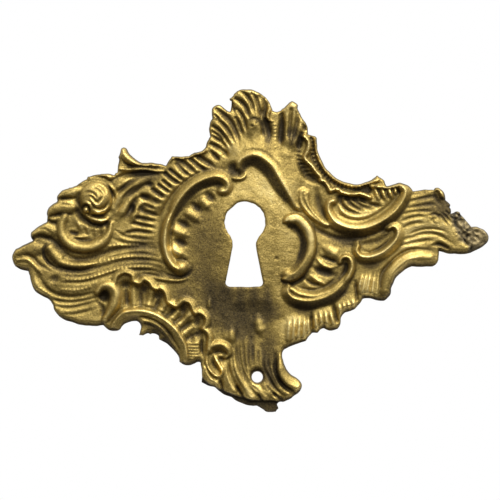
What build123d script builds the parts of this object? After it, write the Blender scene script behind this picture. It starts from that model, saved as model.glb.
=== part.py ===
"""Keyhole escutcheon: one brass casting with a flat back and carved scrolls on its front.

Points are (x, z) in millimetres, as seen from the front: x to the right, z up, with the
origin at the centre of the keyhole's round. The back lies on y = 0, the front faces -y.
"""
import os
from math import atan2, degrees

from build123d import *

# Plate and its openings
plate_thickness = 2.0
keyhole_radius = 4.05
keyhole_height = 17.0
keyhole_neck_width = 4.4
keyhole_neck_drop = 0.4
keyhole_foot_width = 7.8
keyhole_lean = -0.15
keyhole_neck_fillet = 1.4
keyhole_foot_fillet = 0.8
pin_hole_diameter = 2.2
pin_hole_at = (2.45, -31.0)

# Carving: how far the forms stand out of the plate, and how wide they are
embed = 0.6
band_width = 2.3
band_rim_height = 1.5
band_channel_height = 0.95
band_rim_share = 0.6
cord_width = 1.8
cord_height = 1.1
thread_width = 1.4
thread_height = 0.9
ribbon_width = 1.1
ribbon_height = 0.8
cord_top_share = 0.45
cord_shoulder_share = 0.35
flute_radius = 0.78
flute_rise = 0.74
lobe_radius = 0.95
lobe_rise = 0.9
hair_radius = 0.5
hair_rise = 0.46
rib_sides = 4
rib_sink = 0.12
button_sides = 8
rib_bends = (0, 0.3, 0.7, 1)
channel_radius = 0.75
channel_depth = 0.6
ball_height_share = 1.2
ball_top_share = 0.5
blind_hole_depth = 0.6

# Outline, counter-clockwise: each arc runs to its corner by way of a point, or straight
OUTLINE = [
    # left tip and lower left edge
    ((-44.5, -4.8), (-46.0, -5.8)),
    ((-46.4, -7.4), (-45.8, -8.9)),
    ((-44.6, -9.45), (-43.2, -9.8)),
    ((-42.75, -11.5), (-42.4, -13.0)),
    ((-41.9, -13.8), (-41.2, -14.35)),
    ((-40.1, -14.95), (-38.7, -15.8)),
    ((-38.25, -16.9), (-37.9, -17.8)),
    ((-36.6, -19.2), (-35.0, -19.9)),
    ((-32.0, -20.6), (-28.3, -20.7)),
    (None, (-27.4, -21.4)),
    ((-26.1, -21.8), (-24.9, -21.4)),
    ((-23.6, -20.2), (-21.6, -19.75)),
    ((-20.95, -20.2), (-20.8, -21.2)),
    (None, (-21.0, -22.5)),
    (None, (-20.4, -22.7)),
    ((-18.9, -22.2), (-17.2, -22.7)),
    (None, (-17.1, -23.4)),
    ((-15.0, -24.8), (-13.7, -26.2)),
    ((-13.25, -27.0), (-13.1, -27.9)),
    ((-11.5, -28.6), (-9.9, -28.15)),
    ((-9.4, -27.95), (-8.85, -28.1)),
    # tail
    ((-8.6, -29.8), (-8.6, -31.0)),
    (None, (-8.7, -32.0)),
    ((-7.5, -32.6), (-6.1, -33.05)),
    ((-4.5, -34.2), (-2.7, -35.0)),
    ((-1.2, -35.95), (0.4, -36.6)),
    ((1.4, -36.7), (2.3, -36.65)),
    ((3.3, -37.2), (4.1, -37.85)),
    ((5.0, -38.0), (6.0, -37.75)),
    (None, (6.7, -37.3)),
    (None, (6.4, -36.5)),
    ((6.8, -36.05), (7.6, -35.9)),
    ((9.3, -35.05), (10.6, -34.1)),
    ((11.3, -32.7), (10.6, -31.35)),
    ((8.6, -29.8), (7.6, -27.6)),
    # lower right edge
    ((7.4, -26.4), (7.95, -25.4)),
    ((9.9, -24.45), (12.1, -23.7)),
    ((12.75, -22.9), (13.4, -22.15)),
    (None, (14.5, -22.1)),
    ((15.2, -21.5), (15.7, -21.3)),
    ((17.4, -21.65), (18.5, -21.3)),
    ((19.0, -20.3), (19.1, -19.3)),
    ((19.4, -18.7), (20.0, -18.1)),
    ((21.1, -17.8), (21.9, -17.4)),
    ((22.7, -16.5), (23.5, -15.4)),
    ((24.5, -15.2), (25.6, -15.3)),
    ((26.7, -15.7), (27.7, -15.8)),
    ((28.6, -15.1), (29.0, -14.3)),
    ((29.5, -12.4), (30.2, -11.0)),
    ((31.4, -9.9), (33.2, -8.9)),
    ((35.2, -8.95), (37.4, -8.9)),
    ((38.3, -8.1), (38.6, -7.2)),
    (None, (38.75, -5.8)),
    # right tip
    ((41.5, -6.4), (45.0, -6.2)),
    ((46.8, -5.35), (48.0, -4.4)),
    ((48.6, -3.2), (48.1, -2.1)),
    ((46.8, -1.2), (45.2, -0.9)),
    ((44.1, 0.3), (43.0, 1.6)),
    ((42.4, 2.1), (41.8, 1.85)),
    (None, (41.1, 1.7)),
    ((41.2, 2.3), (40.75, 2.95)),
    (None, (40.9, 3.4)),
    (None, (40.0, 4.3)),
    ((39.7, 5.8), (38.9, 6.6)),
    ((38.4, 6.85), (37.9, 6.8)),
    (None, (37.7, 6.4)),
    # upper right edge
    ((36.0, 6.45), (33.5, 6.15)),
    ((32.8, 7.1), (31.9, 7.6)),
    ((31.0, 7.8), (30.0, 7.6)),
    ((29.2, 7.35), (28.3, 7.2)),
    ((28.0, 7.7), (27.8, 8.2)),
    ((27.1, 8.8), (26.4, 9.1)),
    ((25.8, 8.8), (25.2, 8.4)),
    ((23.5, 7.75), (21.8, 7.5)),
    ((18.0, 8.9), (15.6, 11.7)),
    ((14.7, 13.8), (14.4, 16.4)),
    ((14.25, 16.95), (13.7, 17.2)),
    (None, (12.65, 17.45)),
    ((12.4, 18.9), (11.7, 20.3)),
    # crest
    (None, (10.5, 22.6)),
    (None, (10.55, 23.3)),
    ((10.0, 23.9), (9.4, 24.2)),
    (None, (8.9, 23.9)),
    (None, (7.2, 22.1)),
    ((6.3, 22.0), (5.5, 22.2)),
    (None, (4.9, 23.8)),
    ((3.8, 25.15), (2.4, 26.0)),
    ((0.3, 26.5), (-1.7, 26.0)),
    (None, (-2.9, 24.4)),
    (None, (-2.65, 24.2)),
    (None, (-2.85, 22.1)),
    (None, (-3.2, 22.0)),
    ((-4.1, 22.65), (-4.9, 23.3)),
    ((-5.8, 23.3), (-6.5, 22.7)),
    ((-6.6, 21.7), (-6.5, 20.6)),
    ((-7.2, 18.8), (-6.9, 17.0)),
    # upper left edge
    ((-7.5, 16.0), (-7.9, 14.9)),
    ((-8.8, 14.2), (-10.1, 13.9)),
    ((-10.7, 13.5), (-11.2, 13.1)),
    ((-12.8, 13.1), (-14.5, 13.0)),
    ((-15.2, 12.1), (-15.8, 11.2)),
    ((-18.0, 11.75), (-20.5, 11.85)),
    ((-22.2, 12.8), (-23.7, 14.5)),
    ((-24.3, 14.75), (-24.85, 14.2)),
    ((-25.2, 12.2), (-25.4, 9.8)),
    (None, (-26.1, 9.3)),
    ((-28.5, 9.65), (-31.2, 8.8)),
    (None, (-31.5, 8.4)),
    ((-32.6, 8.0), (-33.6, 7.2)),
    ((-35.2, 6.7), (-36.5, 6.3)),
    ((-37.3, 5.4), (-37.4, 4.2)),
    (None, (-37.7, 3.9)),
    ((-39.1, 2.9), (-39.65, 1.6)),
    ((-39.5, 0.8), (-39.5, 0.0)),
    ((-41.2, -0.9), (-42.6, -2.0)),
    ((-42.75, -2.7), (-42.3, -3.7)),
]

# Channelled bands: the first three points are an arc, each further one a tangent arc
BANDS = [
    # left C-scroll
    [(-4.4, 7.6), (-7.3, 7.7), (-10.6, 6.1), (-14.6, 1.2), (-15.6, -4.8), (-13.6, -8.9)],
    # lower right C-scroll
    [(9.3, -12.9), (11.2, -14.4), (14.2, -14.8), (18.2, -12.8), (21.2, -8.6)],
    # crescent of the shell
    [(16.9, 3.9), (17.3, 1.7), (18.8, -0.2), (22.8, -0.9), (28.0, 1.1), (31.4, 6.4)],
]

# Rounded cords
CORDS = [
    # top S-scroll
    [(-1.2, 12.7), (1.2, 13.4), (3.8, 12.6), (6.6, 9.0), (10.0, 2.9)],
    # right C-scroll
    [(9.3, 0.3), (11.6, -0.9), (12.6, -3.4), (12.0, -7.2), (9.0, -10.1)],
    # middle right C-scroll
    [(22.7, -5.0), (23.2, -6.6), (25.0, -7.1), (28.6, -5.6), (30.2, -2.6), (29.2, -0.8)],
    # comma leaf
    [(11.5, 6.1), (11.5, 4.0), (12.6, 2.2), (17.2, -1.0)],
    # scroll under the rose
    [(-36.9, -1.3), (-36.0, -4.0), (-33.5, -5.4), (-28.5, -5.2), (-24.0, -3.3)],
]

# Thin cords
THREADS = [
    # hook of the lower right C-scroll
    [(21.5, -8.6), (20.6, -6.6), (19.1, -7.3)],
    # inner line of the middle right C-scroll
    [(23.2, -4.6), (25.2, -5.8), (27.6, -4.6)],
    # arc rims of the lower left frill
    [(-25.6, -18.4), (-20.6, -17.8), (-15.6, -19.8), (-11.7, -25.4)],
    [(-26.3, -20.8), (-22.0, -19.0), (-17.0, -20.6), (-12.6, -26.4)],
    # lower left volute
    [(-29.2, -13.6), (-27.0, -13.1), (-26.0, -14.9), (-27.6, -18.7)],
    # small scroll and right rim of the tail
    [(-6.9, -26.2), (-5.2, -24.2), (-3.2, -26.2)],
    [(6.9, -27.2), (7.5, -31.0), (10.1, -33.0)],
    # horn
    [(-24.3, 13.8), (-22.9, 12.2), (-20.4, 11.3), (-16.6, 10.9)],
    # rim along the upper right edge
    [(13.8, 16.4), (14.3, 13.8), (15.4, 11.2), (21.6, 6.9)],
    # lower edge of the right stem
    [(29.4, -11.2), (31.7, -8.5), (36.9, -7.3)],
]

# Flutes: arched ribs given by start, middle and end
CREST_FLUTES = [
    ((-6.9, 14.5), (-5.3, 13.6), (-3.7, 12.2)),
    ((-6.7, 16.2), (-5.4, 15.5), (-3.6, 14.0)),
    ((-6.4, 18.0), (-5.0, 17.0), (-3.5, 15.1)),
    ((-6.3, 19.7), (-4.8, 18.7), (-2.8, 16.2)),
    ((-6.0, 21.4), (-4.2, 20.2), (-1.9, 16.9)),
    ((-5.7, 22.8), (-4.0, 21.7), (-2.4, 20.1)),
    ((-2.2, 21.5), (-1.2, 20.3), (-0.3, 17.8)),
    ((-2.0, 23.5), (-0.6, 22.2), (0.4, 19.4)),
    ((-1.5, 25.3), (0.2, 23.9), (1.3, 20.8)),
    ((0.4, 26.0), (1.6, 24.3), (2.4, 21.2)),
    ((2.3, 25.4), (3.1, 23.8), (3.5, 21.0)),
    ((4.2, 24.0), (4.6, 22.4), (4.2, 20.4)),
    ((7.6, 22.0), (8.3, 20.2), (8.0, 17.0)),
    ((9.4, 23.8), (9.8, 21.0), (9.2, 16.4)),
    ((10.7, 21.9), (11.1, 20.2), (10.7, 17.9)),
    ((5.9, 21.6), (6.4, 18.0), (6.3, 14.4)),
]
BAND_FLUTES = [
    ((-10.2, 12.9), (-8.6, 11.6), (-6.9, 10.6)),
    ((-11.8, 12.3), (-10.3, 11.0), (-8.6, 9.9)),
    ((-13.1, 11.6), (-11.9, 10.6), (-10.6, 9.3)),
    ((-14.1, 10.7), (-12.9, 9.6), (-11.8, 8.6)),
    ((-15.2, 9.7), (-13.9, 8.6), (-12.8, 7.8)),
    ((-16.1, 8.6), (-14.9, 7.8), (-13.9, 7.1)),
    ((-16.8, 7.5), (-15.6, 6.7), (-14.8, 6.1)),
    ((-17.8, 6.6), (-16.5, 5.8), (-15.6, 5.2)),
    ((-19.0, 5.4), (-17.4, 4.8), (-16.2, 4.2)),
    ((-20.3, 4.1), (-18.5, 3.6), (-16.8, 2.9)),
    ((-20.8, 2.8), (-19.0, 2.3), (-17.3, 1.8)),
    ((-21.4, 1.5), (-19.5, 1.2), (-17.6, 0.7)),
    ((-22.1, 0.2), (-20.1, -0.2), (-17.9, -0.5)),
    ((-23.0, -1.2), (-20.8, -1.4), (-17.8, -1.7)),
]
SHELL_FLUTES = [
    ((18.6, 5.4), (19.5, 3.1), (22.0, 0.9)),
    ((19.9, 5.0), (20.8, 3.2), (23.4, 1.4)),
    ((21.3, 4.8), (22.7, 3.1), (25.4, 1.8)),
    ((23.0, 4.8), (24.7, 3.5), (27.0, 2.6)),
    ((26.8, 6.4), (27.5, 4.9), (28.9, 3.4)),
    ((28.3, 6.5), (28.8, 5.2), (29.7, 4.2)),
]
ARM_FLUTES = [
    ((33.6, 4.6), (35.8, 5.2), (37.5, 5.6)),
    ((33.0, 3.4), (35.2, 4.0), (37.4, 4.3)),
    ((32.2, 2.2), (34.6, 2.6), (37.4, 2.9)),
    ((31.8, 0.1), (33.8, 0.8), (36.0, 1.2)),
    ((31.8, -1.6), (33.8, -0.7), (36.0, -0.4)),
    ((32.2, -3.0), (35.2, -2.4), (39.2, -2.7)),
    ((31.6, -4.3), (34.6, -4.0), (37.6, -4.0)),
    ((31.2, -5.6), (33.8, -5.3), (37.6, -5.6)),
    ((29.4, -8.8), (28.2, -11.4), (28.0, -14.6)),
    ((38.0, 6.2), (39.2, 4.8), (38.4, 2.2)),
]
WING_FLUTES = [
    ((-39.4, -4.8), (-37.4, -8.0), (-32.6, -8.9)),
    ((-34.0, -8.9), (-27.0, -7.6), (-17.6, -7.4)),
    ((-27.6, -5.6), (-23.0, -4.5), (-17.6, -4.6)),
    ((-38.0, -9.8), (-32.5, -10.3), (-26.4, -9.2)),
    ((-27.4, -9.3), (-22.5, -8.6), (-16.8, -9.3)),
    ((-36.6, -11.4), (-32.0, -11.4), (-26.6, -10.0)),
    ((-40.4, -11.2), (-36.6, -13.5), (-30.4, -13.2)),
    ((-41.2, -12.2), (-38.4, -14.9), (-31.0, -15.1)),
    ((-39.2, -15.2), (-35.6, -16.5), (-30.5, -16.0)),
    ((-36.8, -17.6), (-33.6, -18.2), (-29.0, -17.4)),
    ((-45.2, -7.5), (-43.2, -7.4), (-41.2, -9.2)),
    ((-45.0, -6.2), (-43.0, -5.2), (-40.6, -5.4)),
    ((-42.0, -1.9), (-40.2, -1.2), (-38.2, -1.2)),
    ((-38.9, 0.3), (-37.2, 0.9), (-35.4, 0.5)),
    ((-39.0, 2.5), (-37.0, 3.4), (-33.8, 3.3)),
    ((-36.6, 5.6), (-35.0, 6.1), (-32.8, 6.4)),
    ((-24.8, 10.7), (-21.5, 10.3), (-17.0, 10.0)),
    ((-26.4, 7.0), (-24.2, 7.7), (-21.6, 8.5)),
    ((-26.2, 4.8), (-23.6, 5.8), (-20.2, 5.2)),
]
TAIL_FLUTES = [
    ((-4.2, -27.4), (-4.0, -30.4), (-3.0, -33.4)),
    ((-2.7, -26.2), (-2.5, -29.6), (-0.8, -33.6)),
    ((-1.3, -25.4), (-0.8, -29.0), (1.4, -33.4)),
    ((4.4, -28.6), (5.4, -31.0), (7.4, -33.8)),
    ((-7.6, -27.0), (-6.9, -29.0), (-4.9, -30.5)),
    ((-7.9, -29.4), (-7.0, -31.0), (-5.4, -32.4)),
]
RIBBONS = [
    # lower left ribbon
    ((-25.8, -12.4), (-24.0, -10.2), (-22.3, -12.2)),
    ((-21.8, -12.8), (-20.0, -11.6), (-18.4, -13.4)),
    ((-18.2, -13.5), (-16.3, -13.6), (-15.4, -16.0)),
    ((-13.6, -16.9), (-11.4, -16.0), (-10.2, -18.1)),
    ((-10.1, -18.5), (-8.5, -18.5), (-7.9, -20.8)),
    ((-8.5, -21.2), (-7.3, -22.8), (-7.5, -25.6)),
    # upper right ribbon
    ((11.6, 17.0), (12.8, 15.4), (11.7, 12.8)),
    ((11.7, 13.0), (13.4, 11.0), (15.1, 8.9)),
    ((14.9, 8.9), (16.3, 7.8), (17.2, 6.2)),
    ((16.9, 6.1), (20.4, 5.9), (25.0, 4.9)),
]
LOBES = [
    # gadroons inside the left C-scroll
    ((-9.2, 5.4), (-7.9, 4.1), (-6.9, 2.9)),
    ((-12.0, 2.9), (-10.3, 1.8), (-8.8, 0.8)),
    ((-14.2, -0.8), (-12.6, -1.5), (-11.1, -2.2)),
    ((-14.9, -4.8), (-13.2, -5.5), (-11.7, -6.2)),
    # egg and leaves between the right C-scrolls
    ((15.0, -3.9), (17.2, -5.9), (19.2, -8.0)),
    ((14.0, -6.6), (15.6, -8.6), (18.6, -8.6)),
    ((12.8, -9.9), (14.6, -11.3), (16.6, -12.4)),
    # second rib of the comma leaf, leaf bump in the field
    ((13.2, 6.0), (13.6, 3.0), (16.8, 0.0)),
    ((2.8, -18.8), (3.1, -20.6), (3.7, -22.4)),
]

# Ribbed patches on the lower right edge, and ribs in the lower left frill: fine flutes
HAIRS = [
    ((22.8, -9.9), (22.8, -12.0), (23.2, -14.4)),
    ((24.1, -9.7), (24.1, -12.0), (24.3, -14.6)),
    ((25.4, -9.7), (25.4, -12.0), (25.4, -14.8)),
    ((26.6, -9.5), (26.4, -12.0), (26.5, -14.9)),
    ((18.7, -16.0), (18.8, -17.2), (19.1, -18.4)),
    ((19.7, -15.7), (19.8, -16.8), (20.1, -17.8)),
    ((20.7, -15.3), (20.8, -16.4), (21.1, -17.5)),
    ((21.7, -14.9), (21.8, -15.9), (22.1, -16.9)),
    ((13.8, -18.3), (13.9, -19.9), (14.2, -21.6)),
    ((15.0, -17.8), (15.1, -19.4), (15.4, -21.0)),
    ((16.2, -17.6), (16.3, -19.2), (16.6, -20.9)),
    ((17.3, -17.7), (17.6, -19.3), (18.2, -20.9)),
    ((8.6, -18.6), (8.5, -21.0), (8.4, -24.4)),
    ((9.8, -18.6), (9.8, -21.0), (9.9, -23.8)),
    ((11.0, -18.7), (11.0, -21.0), (11.0, -23.5)),
    ((12.2, -18.8), (12.3, -20.8), (12.4, -22.8)),
    ((-23.6, -13.2), (-23.7, -15.0), (-23.5, -17.0)),
    ((-21.4, -13.8), (-21.3, -15.4), (-21.0, -17.0)),
    ((-19.2, -14.6), (-18.8, -16.0), (-18.2, -17.4)),
    ((-13.4, -18.4), (-13.2, -19.4), (-13.1, -20.4)),
    ((-11.2, -20.0), (-11.6, -21.2), (-11.9, -22.4)),
    ((-11.2, -24.3), (-10.2, -24.2), (-9.2, -24.4)),
    ((-11.3, -25.6), (-10.2, -25.5), (-9.1, -25.7)),
    ((-11.3, -26.9), (-10.2, -26.8), (-9.1, -27.0)),
]

# Balls that end the scrolls: centre and radius
BALLS = [
    ((-4.2, 6.9), 1.3),
    ((-13.0, -9.0), 1.25),
    ((-2.0, 9.7), 1.35),
    ((8.5, -10.3), 1.1),
    ((9.1, -12.9), 1.2),
    ((16.9, 4.1), 1.15),
    ((31.4, 6.5), 1.1),
    ((11.7, 6.2), 1.0),
    ((-27.8, -14.8), 1.2),
    ((-31.6, 2.6), 0.6),
    ((28.2, -14.3), 1.0),
    ((-4.8, -25.9), 0.9),
    ((39.0, 5.6), 0.7),
]

# Channels cut into the plate
CHANNELS = [
    ((10.3, 4.6), (12.4, 0.6), (17.0, -2.7)),
    ((16.0, -2.4), (22.0, -2.9), (29.4, -0.2)),
    ((-38.4, -4.2), (-34.4, -7.0), (-28.0, -6.4)),
    ((10.2, 14.4), (10.9, 11.6), (12.4, 8.6)),
    ((-26.6, 7.9), (-22.0, 9.2), (-17.6, 9.2)),
    ((-8.7, -22.2), (-8.5, -24.6), (-8.6, -27.4)),
]

# Blind nail marks: centre and radius
BLIND_HOLES = [
    ((1.7, 19.4), 0.9),
    ((37.6, 0.35), 1.15),
]

# Rose: each tier of petals is a centre, its radius at the plate and at its top, its height,
# its number of petals and its turn
ROSE_TIERS = [
    ((-29.6, 4.4), 3.7, 2.9, 1.3, 7, 12.0),
    ((-29.5, 4.8), 3.0, 2.1, 2.0, 5, 50.0),
    ((-29.4, 5.3), 2.1, 1.4, 2.6, 5, 20.0),
    ((-29.4, 5.6), 1.2, 0.7, 3.0, 5, 70.0),
]


def front_point(at, height):
    """A point of the front, at a height above the back."""
    return (at[0], -height, at[1])


def section_plane(path):
    """Plane across the start of a path, with its own y pointing out of the front."""
    along = path % 0
    return Plane(origin=path @ 0, x_dir=Vector(0, -1, 0).cross(along), z_dir=along)


def scroll_path(points):
    """An arc through three points, drawn on by tangent arcs, on the plate's front."""
    spots = [front_point(at, plate_thickness) for at in points]
    with BuildLine() as path:
        arc = ThreePointArc(*spots[:3])
        for spot in spots[3:]:
            arc = TangentArc(arc @ 1, spot, tangent=arc % 1)
    return path.line


def swept(section_points, path):
    """A form of the given section, drawn along a path."""
    with BuildPart() as body:
        with BuildSketch(section_plane(path)):
            with BuildLine():
                Polyline(*section_points, close=True)
            make_face()
        sweep(path=path)
    return body.part


def channelled_band(points):
    """A scroll with two rims and a channel between them."""
    half = band_width / 2
    rim = half * band_rim_share
    section = [
        (-half, -embed),
        (-half, band_channel_height),
        (-rim, band_rim_height),
        (0, band_channel_height),
        (rim, band_rim_height),
        (half, band_channel_height),
        (half, -embed),
    ]
    return swept(section, scroll_path(points))


def cord(points):
    """A scroll with a rounded top."""
    half = cord_width / 2
    top = half * cord_top_share
    shoulder = cord_height * cord_shoulder_share
    section = [
        (-half, -embed),
        (-half, shoulder),
        (-top, cord_height),
        (top, cord_height),
        (half, shoulder),
        (half, -embed),
    ]
    return swept(section, scroll_path(points))


def ridge(points, width, height):
    """A scroll with a sharp top, as wide at the plate as given."""
    foot = width / 2 * (height + embed) / height
    section = [(-foot, -embed), (0, height), (foot, -embed)]
    return swept(section, scroll_path(points))


def arched_rib(ends_and_middle, radius, rise):
    """A rib that rises out of the plate and sinks back into it; a channel if rise is negative."""
    start, middle, end = ends_and_middle
    if rise > 0:
        end_height = plate_thickness - radius - rib_sink
        middle_height = plate_thickness + rise - radius
    else:
        end_height = plate_thickness + radius + rib_sink
        middle_height = plate_thickness + rise + radius
    with BuildPart() as body:
        with BuildLine() as path:
            arc = ThreePointArc(
                front_point(start, end_height),
                front_point(middle, middle_height),
                front_point(end, end_height),
                mode=Mode.PRIVATE,
            )
            Polyline(*[arc @ share for share in rib_bends])
        with BuildSketch(section_plane(path.line)):
            RegularPolygon(radius, rib_sides)
        sweep(path=path.line, transition=Transition.RIGHT)
    return body.part


def button(centre, radius, top_radius, height, sides=button_sides, turn=0.0):
    """A low many-sided form that narrows towards its top, rooted in the plate."""
    tall = height + embed
    with BuildPart() as body:
        with BuildSketch(Plane.XZ.offset(plate_thickness - embed)):
            with Locations(centre):
                RegularPolygon(radius, sides, rotation=turn)
        extrude(amount=tall, taper=degrees(atan2(radius - top_radius, tall)))
    return body.part


raised = [
    [channelled_band(points) for points in BANDS],
    [cord(points) for points in CORDS],
    [ridge(points, thread_width, thread_height) for points in THREADS],
    [ridge(points, ribbon_width, ribbon_height) for points in RIBBONS],
]
for group in (CREST_FLUTES, BAND_FLUTES, SHELL_FLUTES, ARM_FLUTES, WING_FLUTES, TAIL_FLUTES):
    raised.append([arched_rib(rib, flute_radius, flute_rise) for rib in group])
raised.append([arched_rib(rib, lobe_radius, lobe_rise) for rib in LOBES])
raised.append([arched_rib(rib, hair_radius, hair_rise) for rib in HAIRS])
raised.append([button(at, r, r * ball_top_share, r * ball_height_share) for at, r in BALLS])
raised.append([button(*tier) for tier in ROSE_TIERS])
channels = [arched_rib(channel, channel_radius, -channel_depth) for channel in CHANNELS]

with BuildPart() as escutcheon:
    with BuildSketch(Plane.XZ):
        with BuildLine():
            corner = OUTLINE[-1][1]
            for by_way_of, end in OUTLINE:
                if by_way_of is None:
                    Line(corner, end)
                else:
                    ThreePointArc(corner, by_way_of, end)
                corner = end
        make_face()
    extrude(amount=plate_thickness)
    add(channels, mode=Mode.SUBTRACT)
    for group in raised:
        add(group)

    # keyhole: a round over a flaring slot
    with BuildSketch(Plane.XZ) as keyhole:
        Circle(keyhole_radius)
        with BuildLine():
            neck = keyhole_neck_width / 2
            foot = keyhole_foot_width / 2
            neck_z = -keyhole_radius - keyhole_neck_drop
            foot_z = keyhole_radius - keyhole_height
            Polyline(
                (keyhole_lean - neck, 0),
                (keyhole_lean - neck, neck_z),
                (keyhole_lean - foot, foot_z),
                (keyhole_lean + foot, foot_z),
                (keyhole_lean + neck, neck_z),
                (keyhole_lean + neck, 0),
                close=True,
            )
        make_face()
        fillet(keyhole.vertices().sort_by(Axis.Y)[:2], keyhole_foot_fillet)
        shoulders = keyhole.vertices().filter_by_position(Axis.Y, -keyhole_radius, -keyhole_radius / 2)
        fillet(shoulders, keyhole_neck_fillet)
    extrude(amount=plate_thickness, mode=Mode.SUBTRACT)

    # pin hole, and blind nail marks
    with BuildSketch(Plane.XZ):
        with Locations(pin_hole_at):
            Circle(pin_hole_diameter / 2)
    extrude(amount=plate_thickness, mode=Mode.SUBTRACT)
    for at, radius in BLIND_HOLES:
        with BuildSketch(Plane.XZ.offset(plate_thickness - blind_hole_depth)):
            with Locations(at):
                Circle(radius)
        extrude(amount=blind_hole_depth + flute_rise, mode=Mode.SUBTRACT)

escutcheon.part.label = "keyhole_escutcheon"
os.makedirs("parts", exist_ok=True)
export_step(escutcheon.part, "parts/keyhole_escutcheon.step")
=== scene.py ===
from math import radians

import bpy
import numpy as np
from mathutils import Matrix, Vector
from mathutils.geometry import delaunay_2d_cdt


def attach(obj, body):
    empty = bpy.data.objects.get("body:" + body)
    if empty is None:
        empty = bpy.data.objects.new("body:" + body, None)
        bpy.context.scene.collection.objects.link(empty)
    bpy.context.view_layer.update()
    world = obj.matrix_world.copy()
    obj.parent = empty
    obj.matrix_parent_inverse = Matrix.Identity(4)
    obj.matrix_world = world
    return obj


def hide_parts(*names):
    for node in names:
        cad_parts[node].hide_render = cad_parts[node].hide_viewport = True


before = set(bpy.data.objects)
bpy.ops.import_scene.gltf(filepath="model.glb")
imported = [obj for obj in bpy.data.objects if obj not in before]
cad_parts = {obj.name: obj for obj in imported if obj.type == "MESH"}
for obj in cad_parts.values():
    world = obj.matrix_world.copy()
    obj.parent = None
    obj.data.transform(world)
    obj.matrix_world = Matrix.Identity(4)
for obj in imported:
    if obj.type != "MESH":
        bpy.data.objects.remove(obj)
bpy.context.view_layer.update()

# The carving is worked in millimetres, (x, z) as seen from the front: x right, z up.
MM = 0.001
RASTER = 0.125
SHEET_PITCH = 0.205
RIM_PITCH = 0.2
PLATE = 2.0
FAR = 1e6
SEED = 11

# Where the small casting burrs stand on the outline.
BURRS = ((-45.7, -5.4), (-35, 6.9), (-31.2, 8.8), (-28.6, 9.9), (-25.7, 9.6), (-25.2, 12.9),
         (-24, 13.6), (-20.2, 12.2), (-14.6, 13.1), (-7.2, 14.6), (-6.9, 16.6), (-2.9, 24.5),
         (-2.2, 25.6), (4.4, 25), (5.6, 22.6), (7.4, 22.6), (12.4, 16.8), (24.8, 8.5), (26.4, 9.1),
         (33.2, 7.6), (39.5, 6.8), (40.6, 3.2), (-21, -22.5), (-18.9, -22.2), (-8.9, -31.3), (6, -37.6),
         (9, -35.6))


# Helpers for lines and heights

def smooth_way(way, step=0.08):
    """Points close together along a smooth line through the given points."""
    points = np.array(way, float)
    if len(points) == 1:
        return points
    if len(points) == 2:
        count = max(int(np.hypot(*(points[1] - points[0])) / step), 2)
        share = np.linspace(0, 1, count)[:, None]
        return points[0] + (points[1] - points[0]) * share
    ends = np.vstack([2 * points[0] - points[1], points, 2 * points[-1] - points[-2]])
    run = []
    for a, b, c, d in zip(ends[:-3], ends[1:-2], ends[2:-1], ends[3:]):
        count = max(int(np.hypot(*(c - b)) / step), 2)
        t = np.linspace(0, 1, count, endpoint=False)[:, None]
        run.append(0.5 * (2 * b + (c - a) * t + (2 * a - 5 * b + 4 * c - d) * t ** 2
                          + (3 * b - a - 3 * c + d) * t ** 3))
    run.append(points[-1:])
    return np.vstack(run)


def ease(t):
    t = np.clip(t, 0, 1)
    return t * t * (3 - 2 * t)


def round_form(u):
    return np.sqrt(np.clip(1 - u * u, 0, 1))


def soft_form(u):
    return np.clip(1 - u * u, 0, 1) ** 2


def arch_form(u):
    return np.clip(1 - u * u, 0, 1)


def slope_form(u):
    return np.clip(1 - u, 0, 1)


def shoulder_form(u):
    return 1 - ease(u)


def shelf_form(u):
    return ease((1 - u) * 2.5)


def swell(share, ends, run=0.33):
    """Size along a line: ends gives its share of the full size at each end."""
    return ((ends[0] + (1 - ends[0]) * ease(share / run))
            * (ends[1] + (1 - ends[1]) * ease((1 - share) / run)))


def blur(field, sigma):
    """Gaussian blur of a raster, sigma in cells."""
    reach = max(int(sigma * 3), 1)
    kernel = np.exp(-0.5 * (np.arange(-reach, reach + 1) / sigma) ** 2)
    kernel /= kernel.sum()
    for axis in (0, 1):
        padded = np.pad(field, [(reach, reach) if a == axis else (0, 0) for a in (0, 1)], mode="edge")
        out = np.zeros_like(field)
        for k, weight in enumerate(kernel):
            part = [slice(None), slice(None)]
            part[axis] = slice(k, k + field.shape[axis])
            out += weight * padded[tuple(part)]
        field = out
    return field


def within(x, z, ring):
    """Whether each place lies inside a closed line, by the crossings to its right."""
    inside = np.zeros(np.broadcast(x, z).shape, bool)
    for (ax, az), (bx, bz) in zip(ring, np.roll(ring, -1, axis=0)):
        if az != bz:
            inside ^= ((az > z) != (bz > z)) & (x < (bx - ax) * (z - az) / (bz - az) + ax)
    return inside


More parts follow.
